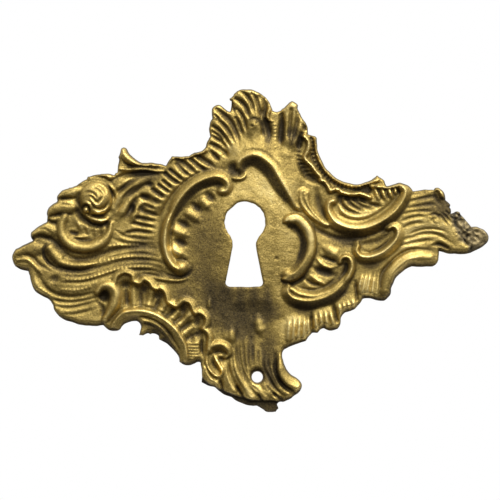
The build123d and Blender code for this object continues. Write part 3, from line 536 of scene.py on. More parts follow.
def carve_rose(relief):
    """The rosebud: folded petals over a dome, a small curl at the left and two petals below."""
    relief.cut([(-33.8, 4.6), (-33.2, 1.8), (-31.2, -0.2), (-28.2, -0.6), (-26, 1.2)], 2.0, 0.5, 1.0)
    relief.ridge([(-31.2, 1), (-30.2, 0.6), (-28.9, 0.3), (-27.6, 0.5)],
                 1.9, 3.1, 1.8, ends=(0.5, 0.5), form=arch_form)
    relief.ball((-29.7, 4.6), 3.7, 4.2, 0.9)
    folds = (
        ([(-32.3, 5.6), (-31.5, 5.95), (-30.6, 5.9), (-29.9, 5.4), (-29.3, 4.6)], 0.65),
        ([(-31.6, 4.9), (-30.6, 5.05), (-29.9, 4.35), (-29.4, 3.9), (-28.8, 4.4), (-28.3, 4.95),
          (-28.2, 5.6)], 0.55),
        ([(-31.4, 3.9), (-30.7, 3.9), (-30.2, 3.3), (-29.8, 2.8), (-28.8, 2.6), (-27.9, 2.95), (-27.3, 3.8),
          (-27.1, 4.6)], 0.8), ([(-30.8, 6.6), (-29.6, 6.6), (-28.7, 5.9), (-28.2, 5)], 0.55),
        ([(-30.2, 7.3), (-29, 7.1), (-28, 6.3), (-27.6, 5.2)], 0.55),
        ([(-28.2, 7.6), (-27, 6.7), (-26.4, 5.2), (-26.5, 3.8)], 0.6),
    )
    for way, width in folds:
        relief.cut(way, width, 0.45, 0.7, ends=(0.3, 0.2))
    relief.add([(-30.9, 4.5), (-30.2, 3.9), (-29.6, 3.2), (-29, 3.4), (-28.3, 4.2)], 0.7, 0.22, gilt=0.5)
    relief.add([(-31.2, 5.4), (-30.4, 5.5), (-29.8, 4.9)], 0.5, 0.16, gilt=0.5)
    relief.add([(-27.2, 7.4), (-26, 6.2), (-25.6, 4.8)], 0.8, 0.4, gilt=0.3)
    relief.add([(-30.4, 2.3), (-29.2, 1.85), (-27.9, 2.25), (-26.9, 3.2)], 0.9, 0.6, gilt=0.9)
    relief.add([(-32.2, 3.9), (-31.3, 3.8), (-30.6, 3.1), (-30.4, 2.2)], 0.6, 0.45, gilt=0.9)
    relief.ball((-31.6, 2.4), 0.7, 3.7, 2.2)
    relief.cut([(-32.4, 2.4), (-32.1, 3.1), (-31.5, 3.3), (-31, 2.9), (-30.9, 2.1)],
               0.7, 0.7, 1.4, ends=(0.6, 0.6))
    relief.paint([(-33, 6.4), (-33, 4.4), (-32.6, 2.8)], 2.2, 0.6)
    relief.add([(-32.6, 2), (-32, 1.5), (-31.2, 1.2)], 0.6, 0.4, gilt=0.8)
    relief.cut([(-31, 1.5), (-30, 1.2), (-28.9, 1.05), (-27.6, 1.4)], 0.7, 0.45, 0.9)
    relief.add([(-30.6, 0.6), (-29.3, 0.3), (-28.1, 0.15), (-27.3, 0.6)], 0.9, 0.35, gilt=0.7)
    relief.ridge([(-33.2, 8), (-30.6, 9.5), (-28.4, 9.5), (-26.9, 8.9)], 1.4, 2.6)
    relief.cut([(-33.6, 6.8), (-32.2, 8.6), (-30, 9.2), (-27.8, 8.8), (-26.2, 7.5)], 0.8, 0.4, 0.85)


def carve_left_wing(relief):
    """The scalloped fingers, the swoosh under the rose and the long waves of the left wing."""
    for way, width, top in (
            ([(-36.8, 5.7), (-35, 6.1), (-33, 6.3)], 3.4, 2.6),
            ([(-39.4, 2.2), (-37, 2.9), (-34, 3)], 4.0, 2.7),
            ([(-38.4, 0.4), (-37, 0.7), (-35.4, 0.4)], 1.6, 2.4),
            ([(-42.6, -2.4), (-40.6, -1.5), (-38.2, -1.8)], 4.2, 2.65),
            ([(-46, -6.2), (-43.4, -5.3), (-40.8, -5.4)], 4.4, 2.6)):
        relief.ridge(way, width, top, 1.85, ends=(0.9, 0.6), form=arch_form)
    for way, width in (
            ([(-37.6, 4.5), (-36, 4.7), (-33.8, 4.8)], 0.9),
            ([(-39.3, 1), (-36.8, 1.5), (-34.2, 1.4)], 0.8),
            ([(-42, -0.2), (-39.8, 0.3), (-38.4, -0.1), (-37, -0.5)], 0.9),
            ([(-43.4, -3.6), (-41, -2.9), (-39.5, -3.2), (-38, -3.9), (-36.8, -5), (-35.4, -6.3)], 1.5),
            ([(-35, 7.9), (-33.4, 7.7), (-32.8, 7)], 0.9)):
        relief.cut(way, width, 0.4, 0.75, ends=(0.5, 0.4))
    for groove in ([(-36.5, 5.4), (-35, 6.1), (-33.5, 6.5)], [(-37.4, 3.5), (-35.8, 3.5), (-34.2, 3.1)],
                   [(-41.7, -1.7), (-39.9, -1.4), (-38.3, -2.6)]):
        relief.cut(groove, 0.5, 0.2, 0.4)

    relief.sink([(-36, -1.2), (-34.5, 0.8), (-32, -0.4), (-28.5, -0.8), (-27, 0.2), (-27, -2.4),
                 (-28.6, -3.8), (-31.5, -4.4), (-34.4, -3.5)], 0.3, 1.4, 0.25)
    relief.ridge([(-36, 1), (-36.6, -0.6), (-36.5, -2.4), (-35.4, -4.1), (-33.8, -5), (-31.6, -5.2),
                  (-29.6, -4.7), (-28, -3.6), (-27, -2), (-26.7, -0.2)],
                 3.1, 2.9, ends=(0.7, 0.4), form=arch_form)
    relief.cut([(-35.9, -0.6), (-35.7, -2.2), (-34.9, -3.3), (-33.6, -4.1), (-31.6, -4.3), (-29.7, -3.9),
                (-28.5, -3)], 0.5, 0.22, 0.45)
    relief.cut([(-37.4, -1), (-37.4, -2.8), (-36.2, -4.8), (-34.2, -6), (-31.6, -6.3), (-29.2, -5.7),
                (-27.2, -4.4)], 0.8, 0.25, 0.45)
    relief.cut([(-35.2, -1.8), (-34.2, -2.3), (-33, -2.3)], 1.1, 0.35, 0.9)
    relief.cut([(-34.2, -3.2), (-32.8, -3.6), (-31, -3.7), (-29.6, -3.2)], 0.8, 0.3, 0.8)
    relief.add([(-34.4, -2.7), (-33, -3), (-31, -2.8)], 1.0, 0.35, gilt=0.3)
    for vein in ([(-33.4, 0), (-32.4, -2)], [(-31.6, -0.4), (-31.1, -2.6)],
                 [(-29.8, -0.6), (-29.7, -3)], [(-28.3, -0.4), (-28.3, -2.4)]):
        relief.add(vein, 1.3, 0.28)

    waves = (
        ([(-38.5, -4.4), (-37, -5.7), (-35.7, -6.6), (-34, -7.3), (-32.5, -7.5), (-30.5, -7.2),
          (-28.5, -6.5), (-26, -5.7), (-23, -5.2), (-20.5, -5), (-18, -5.3)], 1.5, 0.5),
        ([(-40.3, -5.6), (-39.9, -7.2), (-39, -8.4), (-37.5, -9.2), (-35, -9.6), (-32.5, -9.7), (-30, -9.3),
          (-27.5, -8.7), (-25, -8), (-23, -7.7), (-20, -7.6), (-17, -8), (-15.9, -8.6)], 1.3, 0.45),
        ([(-31, -8.3), (-27, -7.2), (-24, -6.5), (-21.5, -6.3), (-19, -6.5), (-17.2, -7)], 0.9, 0.28),
        ([(-26.6, -3.2), (-24, -4.2), (-21.5, -4.4), (-18.2, -4.6)], 1.0, 0.3),
        ([(-26, -1.6), (-24, -2.8), (-21.5, -3.3), (-18.2, -3.6)], 0.9, 0.3),
        ([(-36.2, -10.6), (-35, -10.8), (-33, -10.9), (-31, -10.6), (-29, -10), (-27, -9.4), (-25, -8.8),
          (-22, -8.5), (-19, -8.5), (-16.8, -9.2)], 0.9, 0.3),
        ([(-36.8, -12.1), (-35, -12.1), (-33, -12.1), (-31, -11.8), (-29, -11.2), (-27, -10.5),
          (-24.5, -9.8), (-21, -9.6), (-18.5, -9.7), (-16.5, -10.4)], 0.9, 0.32),
        ([(-41, -11), (-40.3, -12), (-39.5, -13.2), (-38, -14.3), (-36, -14.8), (-34, -14.9), (-32, -14.6),
          (-29.6, -13.9)], 1.1, 0.4),
        ([(-41.2, -13.4), (-39.5, -14.8), (-37.5, -15.7), (-35.5, -16), (-33.5, -15.9), (-31.3, -15.5),
          (-29.6, -15)], 0.9, 0.34),
        ([(-38, -16.7), (-36, -17.15), (-34.5, -17.1), (-33, -16.8), (-31, -16.3), (-29.6, -15.9)],
         0.9, 0.3),
        ([(-37.4, -18.5), (-35.4, -18.5), (-33, -18.2), (-30.4, -17.5), (-29.2, -17.1)], 0.8, 0.2),
        ([(-45.4, -6.7), (-43.5, -6.6), (-42.2, -7.2), (-41.2, -8.4), (-40, -9.1), (-38.6, -9.9)],
         1.0, 0.36), ([(-20.5, -10.3), (-18.5, -10.5), (-16.3, -11.2)], 0.6, 0.22),
    )
    relief.add([(-43, -8.6), (-38, -11.2), (-33, -12), (-27, -10.2), (-21, -8.2), (-17, -7.4)],
               8.0, 0.4, ends=(0.6, 0.6))
    for way, width, depth in waves:
        relief.cut(way, width * 1.25, 0.8 * depth, 0.05 + 0.28 * width, ends=(0.35, 0.3))
    relief.ridge([(-39, -5.2), (-38.3, -6.4), (-37.3, -7.6), (-36, -8.3), (-34, -8.7), (-31.5, -8.6),
                  (-29, -8)], 2.0, 2.75, ends=(1, 0.2), form=arch_form)
    relief.ridge([(-38.9, -5.3), (-38.1, -6.4), (-37, -7.5), (-35.6, -8.2)],
                 2.9, 2.7, ends=(0.9, 0.1), form=arch_form)
    relief.cut([(-38.6, -4.2), (-39.6, -4.6), (-40.2, -5.6), (-40, -7), (-39, -8.3), (-37.6, -9.2)],
               0.8, 0.35, 0.7)
    relief.ridge([(-45.5, -7.6), (-43.5, -7.5), (-42.4, -8.3), (-41.5, -9.2), (-40.6, -10.2),
                  (-40, -11.4)], 1.3, 2.65, ends=(0.7, 0.2), form=arch_form)
    relief.add([(-42.2, -10.4), (-41.6, -12.4), (-40.2, -14.2), (-38.4, -15.4)], 1.8, 0.35, gilt=0.4)
    for way in ([(-35.5, -11.5), (-32.5, -11.5), (-29.6, -10.7), (-27, -9.9), (-25, -9.3), (-22, -9),
                 (-18.8, -9.1)], [(-36.5, -13.5), (-33.5, -13.6), (-30.4, -12.9)],
                [(-29, -7.7), (-25, -7.2), (-22.4, -6.9), (-19.2, -7.1)],
                [(-27, -4.9), (-24, -4.7), (-21, -4.7)]):
        relief.beads(way, 0.8, 0.4, 0.24)


def carve_frill(relief):
    """The wavy ribbon, its hollows and flutes, and the arched rim at the lower left."""
    ground = [(-25.6, -12.4), (-22.8, -11.4), (-19.6, -13), (-17, -14.2), (-14.6, -17.2),
              (-12.2, -16.8), (-10.2, -19.2), (-8.6, -20), (-9.4, -23.6), (-11, -25), (-12.6, -22.4),
              (-16, -18.9), (-20, -17.2), (-24.4, -17.2)]
    relief.sink(ground, 0.45, 1.8, 0.35)
    for centre, radii in (((-23.9, -12.5), (1.4, 1.3)), ((-20.1, -13.4), (1.3, 1.3)),
                          ((-17.2, -14.8), (1.3, 1.2)), ((-14.3, -17.6), (1, 1)),
                          ((-12.2, -17.5), (1.3, 1.3)), ((-9.6, -19.8), (1.2, 1.4)),
                          ((-9.2, -22.3), (1, 1.6))):
        relief.dome(centre, radii, -0.4, stain_and_shade=1.0)
    for flute in ([(-25, -13.4), (-24.5, -16.8)], [(-22.3, -12.8), (-22.2, -17)],
                  [(-18.7, -14.2), (-19.4, -17.4)], [(-15.8, -16.2), (-17.4, -18.6)],
                  [(-13.4, -18.1), (-15.6, -20)],
                  [(-11, -18.4), (-14.2, -21.2)], [(-10.4, -21), (-12.9, -22.6)]):
        relief.add(flute, 1.6, 0.4, ends=(0.6, 0.5), form=arch_form, gilt=0.3)
    for flute in ([(-23.7, -13.8), (-23.4, -17)], [(-20.8, -14.4), (-20.8, -17.4)],
                  [(-17.2, -15.8), (-18.4, -18)], [(-14.6, -18.2), (-16.6, -19.4)],
                  [(-12.2, -18.8), (-14.9, -20.8)],
                  [(-10.8, -20), (-13.6, -22.2)], [(-9.8, -22.4), (-12.4, -23.8)]):
        relief.cut(flute, 1.1, 0.3, 0.65, ends=(0.9, 0.3))
    ribbon = [(-25.8, -12.2), (-25.4, -10.9), (-24, -10.2), (-22.6, -10.7), (-22.3, -11.9), (-21, -12.3),
              (-20, -11.6), (-19, -12.2), (-18.4, -13.1), (-17.6, -13.4), (-16.7, -13.3), (-15.9, -14.2),
              (-15.6, -15.2), (-15.4, -16), (-14.6, -16.5), (-13.9, -16.9), (-13.2, -16.6), (-12.3, -15.9),
              (-11.4, -16), (-10.7, -16.7), (-10.4, -17.6), (-9.9, -18.3), (-9.2, -18.1), (-8.4, -18.5),
              (-7.8, -19.3), (-7.9, -20.4), (-8.4, -21.3), (-7.6, -22), (-7.2, -23), (-7.3, -24.2),
              (-7.4, -25.4)]
    relief.ridge(ribbon, (1.2, 0.6), 2.95, 1.8, form=(arch_form, slope_form))
    relief.cut([(x + 0.35, z + 0.35) for x, z in ribbon], 0.45, 0.18, 0.35)

    rim = [(-26.2, -20.2), (-25.2, -18.9), (-24, -18), (-22, -17.7), (-20, -17.8), (-18, -18.4),
           (-16, -19.5), (-14, -21.2), (-12.8, -22.9), (-12, -24.4), (-11.7, -25.7), (-11.6, -27)]
    relief.cut([(-24.2, -17), (-21.8, -16.8), (-19.6, -17), (-17.2, -17.8), (-15, -19.4),
                (-13.2, -21.2), (-11.9, -23.4)], 1.0, 0.25, 0.45)
    relief.ridge(rim, (1, 2.2), 3.1, ends=(0.7, 0.7), form=(shoulder_form, slope_form))
    relief.add([(x - 0.25, z - 0.35) for x, z in rim], 1.5, 0.15, form=arch_form)
    relief.cut([(-26, -20.9), (-24.4, -19.4), (-22, -18.9), (-19.5, -19.1), (-17.2, -20.2), (-15.3, -21.9),
                (-14, -24), (-13, -26.2)], 0.5, 0.28, 0.6)
    relief.ridge([(-24.4, -20.1), (-22.4, -19.5), (-20, -19.7), (-18, -20.3), (-16.4, -21.5),
                  (-15.1, -23.2), (-14.1, -25.2)], 1.0, 2.6, 1.6, ends=(0.4, 0.3))
    # Painted shade on the face below the arched rim, which faces down.
    relief.paint([(-22, -20.2), (-20, -20.4), (-18, -21), (-16.2, -22.4), (-14.8, -24.6),
                  (-13.6, -26.8)], 2.2, 0.9, form=shelf_form)
    for z in (-24.3, -25.0, -25.6, -26.2, -26.8, -27.3):
        relief.add([(-11.6, z + 0.1), (-9.0, z)], 0.6, 0.3)
    relief.cut([(-8.6, -22.8), (-8.7, -25), (-8.4, -27)], 1.0, 0.5, 0.9)

    relief.ridge([(-29.3, -13.9), (-28.6, -12.9), (-27.3, -12.6), (-26.2, -13.3), (-25.7, -14.7),
                  (-26, -16.4), (-26.8, -17.9), (-27.8, -19.2)],
                 (1.4, 1.5), 3.35, ends=(0.7, 0.6), form=arch_form)
    relief.dome((-28.2, -14.9), (1.5, 1.5), -1.0, stain_and_shade=1.6)
    relief.cut([(-29.8, -15.4), (-28.4, -17.4), (-28.6, -19.6)], 1.6, 0.35, 0.6)


def carve_tail(relief):
    """The leaves and streams of the tail, round the pin hole."""
    relief.ridge([(-7.5, -26.2), (-7, -25.2), (-6.2, -24.6), (-5, -24.4), (-4, -24.8), (-3.3, -25.6),
                  (-3.2, -26.4), (-3.9, -27)], 2.2, 2.9, ends=(0.5, 0.5), form=arch_form)
    relief.cut([(-6.6, -25.3), (-5.6, -24.8), (-4.6, -24.8), (-3.9, -25.5)], 0.45, 0.2, 0.35)
    relief.cut([(-6.4, -26.6), (-5.7, -26), (-4.9, -26), (-4.3, -26.4)], 0.6, 0.4, 0.8)
    relief.add([(-5.6, -26.8), (-5, -26.6), (-4.6, -27)], 0.7, 0.3, gilt=0.3)
    relief.dome((-4.6, -27.4), (0.9, 0.6), -0.35, stain_and_shade=0.8)
    relief.ridge([(-7.6, -26.6), (-7.6, -28.2), (-7, -29.5), (-6.1, -30.5), (-5.1, -30.8)], 1.0, 2.85,
                 ends=(0.5, 0.7), form=arch_form)
    relief.ridge([(-6.2, -26.6), (-5.5, -27.8), (-4.9, -28.9), (-4.5, -29.9), (-4.8, -30.6)], 1.0, 2.9,
                 ends=(0.5, 0.8), form=arch_form)
    relief.cut([(-6.7, -27.2), (-6.3, -28.4), (-5.7, -29.3), (-5.3, -29.8)], 0.8, 0.4, 0.8)
    relief.ridge([(-8.2, -29), (-7.4, -30.6), (-6.6, -31.7), (-5.9, -32.4)], 1.4, 2.6, form=arch_form)
    for way, width, height in (
            ([(-4, -27.6), (-4, -29.6), (-3.4, -31.6), (-2.3, -33.6)], 1.8, 0.5),
            ([(-2.4, -25.8), (-2.3, -28), (-1.6, -30.4), (-0.1, -32.8), (1.3, -35)], 2.0, 0.5),
            ([(0.2, -29.5), (0.8, -31.4), (2.2, -33.4), (4.1, -34.8)], 2.1, 0.45),
            ([(3.4, -31.8), (4.6, -33.4), (6.4, -34.8)], 2.0, 0.4),
            ([(5.2, -29), (5.8, -31), (7, -33), (8.6, -34.2)], 1.6, 0.4)):
        relief.add(way, width, height, ends=(0.3, 0.9), form=arch_form)
    for way, width in (
            ([(-3.9, -27.8), (-4, -29.4), (-3.8, -31.2), (-3.2, -32.8)], 0.5),
            ([(-3.2, -27.3), (-3.3, -29.5), (-2.9, -31.3), (-2.1, -32.6), (-1.3, -33.6)], 0.7),
            ([(-2.5, -24.5), (-2.5, -27.5), (-2.2, -29.6), (-1.4, -31.6), (0, -33.8)], 0.5),
            ([(-2, -22.5), (-1.8, -25), (-1.6, -27), (-1.3, -28.7), (-0.7, -30.3), (0.2, -31.8),
              (1.2, -33.3), (2.4, -34.6)], 0.7),
            ([(-1.2, -22.5), (-1, -27), (-0.5, -29.3), (0.3, -31), (1.5, -32.7), (2.9, -33.9)], 0.55),
            ([(-0.3, -22.5), (-0.3, -26), (0.1, -29.2), (0.7, -30.8)], 0.6),
            ([(0.6, -23), (0.6, -27), (0.8, -29)], 0.55), ([(1.6, -24), (1.6, -28.4)], 0.6),
            ([(2.6, -25), (2.6, -28.4)], 0.5),
            ([(3.6, -25.6), (3.7, -28.8), (4.5, -30.6), (5.3, -32), (6.2, -33.4), (7.4, -34.6)], 0.7),
            ([(4.6, -25.6), (4.7, -28.4), (5.4, -30.6), (6.3, -32.3), (7.6, -33.8)], 0.5),
            ([(3.8, -31.8), (4.8, -33.3), (6.1, -34.4), (7.4, -35.1)], 0.6)):
        relief.cut(way, width * 1.2, 0.26, 0.42, ends=(0.1, 0.6))
    for notch in ([(-5, -31.2), (-4.8, -32.2), (-4.4, -33.4)],
                  [(-2, -32.2), (-1.2, -33.6), (-0.2, -35.2)], [(2.3, -33.9), (3, -35), (3.8, -36.2)],
                  [(5.2, -33.9), (6.4, -34.9), (7.6, -35.6)]):
        relief.cut(notch, 0.9, 0.6, 0.95, ends=(0.1, 1))
    relief.cut([(6, -26.4), (6.1, -28.5), (6.2, -30), (6.8, -31.5), (7.9, -33), (9.5, -34)],
               1.4, 0.55, 0.9, ends=(0.3, 0.7))
    relief.ridge([(6.8, -26.6), (6.8, -28.3), (6.9, -29.8), (7.5, -31.2), (8.7, -32.4), (10.2, -33.2)],
                 (2, 0.6), 2.95, ends=(0.3, 0.8), form=arch_form)
    relief.sink([(-9.4, -29.6), (-7.4, -31.9), (-5, -33.1), (-1.4, -34.6), (2.4, -35.4), (6, -35.5),
                 (8.2, -36.4), (8, -39), (2, -39), (-6, -36.4), (-10.4, -32.6)], 1.1, 0.35, 1.2)
    relief.dome((2.45, -30.7), (2.1, 2.1), -0.35, stain_and_shade=0.5)
    # A slight dip with painted shadow in the upper part of the pin hole's rim.
    relief.dome((2.45, -30), (1.7, 1.4), -0.15, stain_and_shade=0.6)


def carve_right_arm(relief):
    """The streaming lines of the right arm, its cracks and nail mark, and the stem below."""
    relief.add([(32, 1), (35, 1.2), (39, 0.2), (42, -2)], 9.0, 0.35, ends=(0.6, 0.4))
    for way, width in (
            ([(33, 5.4), (35, 6), (37, 6.3)], 1.2),
            ([(32.9, 4.1), (35, 4.6), (37, 5), (38.4, 5)], 0.8),
            ([(32.5, 2.8), (34.5, 3.1), (37, 3.5), (38.8, 3.3)], 0.8),
            ([(31.8, 1.6), (33.5, 2), (35.5, 2.2), (38, 2.1)], 0.7),
            ([(31.5, 0.2), (33, 0.8), (34.8, 1.1), (36.2, 1)], 0.8),
            ([(31.6, -1.2), (33, -0.5), (34.5, -0.2), (36.2, -0.2)], 0.8),
            ([(33, -2.3), (35.2, -1.6), (36.8, -1.4), (38.8, -1.6), (41, -2.4)], 0.6),
            ([(31.8, -3.5), (33.5, -3), (35, -2.5), (36.7, -2.3), (38.5, -2.6), (40, -3.4), (41.8, -4.6)],
             0.9), ([(31.2, -4.7), (33, -4.3), (35, -3.9), (36.7, -3.7), (38.3, -3.9)], 0.8),
            ([(37.4, 6.2), (37.9, 5), (38.5, 4), (39.4, 3.4)], 0.9)):
        relief.cut(way, width * 1.3, 0.22, 0.12 + 0.36 * width, ends=(0.6, 0.15))
    relief.cut([(37.3, -4.7), (38.7, -4.5), (40, -5.1), (41.3, -5.8)], 1.3, 0.6, 0.9)
    relief.ridge([(37.9, 7), (38.9, 6.4), (39.4, 5.2)], 1.5, 2.8, form=arch_form)
    relief.add([(38.2, 6.7), (39, 6.1), (39.4, 5.2)], 1.0, 0.1, gilt=0.9)
    for crack in ([(39.9, 4.4), (40.5, 3.4), (40.9, 2.2)], [(38.8, 1.4), (39.5, 0.7), (40.4, -0.7)],
                  [(39.3, 1.8), (40.2, 0.9), (41.2, -0.3)], [(40, 2.2), (41, 1.2), (41.8, 0)],
                  [(41.8, 1.5), (41.9, 0), (42.6, -1.8)],
                  [(37, 1.3), (37.7, 1.6), (38.5, 1.2), (38.8, 0.3)]):
        relief.cut(crack, 0.7, 0.3, 1.2, ends=(0.6, 0.3))
    relief.dome((37.6, 0.35), (1.3, 1.3), 0.15)
    relief.dome((37.6, 0.35), (0.9, 0.9), -0.3, stain_and_shade=0.5)
    relief.dome((37.8, 0.2), (0.5, 0.5), 0.3)

    relief.ridge([(28, -13.6), (28.5, -12), (29.7, -10), (31, -8.7), (32.5, -7.7), (34.5, -7.1),
                  (36.8, -7.1)], (1.9, 1.7), 2.85, ends=(0.8, 0.7), form=arch_form)
    relief.cut([(27, -13.4), (26.9, -11.5), (27.5, -9.9), (28.8, -8.4), (30.4, -6.9), (32.5, -5.7),
                (34.6, -5.4), (37, -5.6)], 1.0, 0.4, 0.6)
    relief.cut([(28.6, -10.6), (30, -8.6), (32, -7.1), (34.5, -6.4), (36.5, -6.4)], 0.6, 0.2, 0.3)
    relief.cut([(29, -11.6), (30.3, -9.6), (32.2, -8.2), (34.5, -7.5), (36.5, -7.5)], 0.5, 0.15, 0.25)
    relief.cut([(28, -13.2), (28.8, -13.4), (29, -14.2), (28.3, -14.6)], 0.6, 0.3, 0.7)


def carve_ribbed_edge(relief):
    """The four ribbed patches along the lower right edge, with their grooves and the dips between them."""
    patches = (
        ((24.4, -13.4),
         ([(23.5, -10.2), (22.6, -13.6)], [(24.2, -10.2), (23.4, -14)], [(25, -10.1), (24.2, -14.4)],
          [(25.9, -10.1), (25.3, -14.9)], [(26.6, -10.2), (26.2, -14.6)])),
        ((20.3, -17.4),
         ([(18.7, -16.3), (19.2, -18.7)], [(19.6, -16.2), (20.1, -18.3)],
          [(20.5, -15.9), (21, -17.8)], [(21.4, -15.5), (21.9, -17.4)])),
        ((15.6, -19.4),
         ([(13.9, -18.3), (14.3, -21.7)], [(15, -17.9), (15.3, -21.3)],
          [(16, -17.8), (16.4, -20.9)], [(17, -17.8), (17.8, -21)])),
        ((10.4, -21.2),
         ([(8.9, -19.4), (8.5, -23.4)], [(9.9, -19.3), (9.5, -23.5)], [(10.9, -19.2), (10.6, -23.4)],
          [(11.9, -19.1), (11.7, -23.1)], [(12.7, -18.9), (12.7, -22.5)])),
    )
    for centre, ribs in patches:
        relief.dome(centre, (2.7, 3.2), 0.35, form=arch_form, stain_and_shade=-0.4)
        for way in ribs:
            relief.add(way, 0.95, 0.34, ends=(0.15, 0.8), form=arch_form, gilt=0.6)
        for one, other in zip(ribs, ribs[1:]):
            groove = [((a[0] + b[0]) / 2, (a[1] + b[1]) / 2) for a, b in zip(one, other)]
            relief.cut(groove, 0.55, 0.24, 0.5, ends=(0.3, 0.7))
    for dip in ([(22, -11.8), (22.4, -15.6)],
                [(17.6, -16.4), (18.4, -19.8)], [(13.2, -18.2), (13.3, -22.4)]):
        relief.cut(dip, 1.1, 0.5, 0.7, ends=(0.4, 0.8))
    # A shallow step under the first ribbed patch, with painted shade on it.
    relief.cut([(22.5, -14.3), (24, -15), (25.4, -15.4), (26.8, -15.6)], 1.1, 0.3, 0.9)


def nail_marks(relief):
    """The filled nail hole in the crest and the faint one in the left wing."""
    relief.dome((1.7, 19.3), (1.1, 1), 0.3)
    relief.cut([(0.6, 19.3), (0.9, 20.2), (1.8, 20.6), (2.7, 20.1), (2.9, 19.2)], 0.6, 0.25, 0.9)
    relief.dome((1.4, 19.1), (0.55, 0.4), -0.35, stain_and_shade=0.7)
    relief.dome((2.3, 19.7), (0.35, 0.3), -0.25, stain_and_shade=0.5)
    relief.dome((-37.9, -11.4), (1.3, 1.1), -0.35, stain_and_shade=0.5)


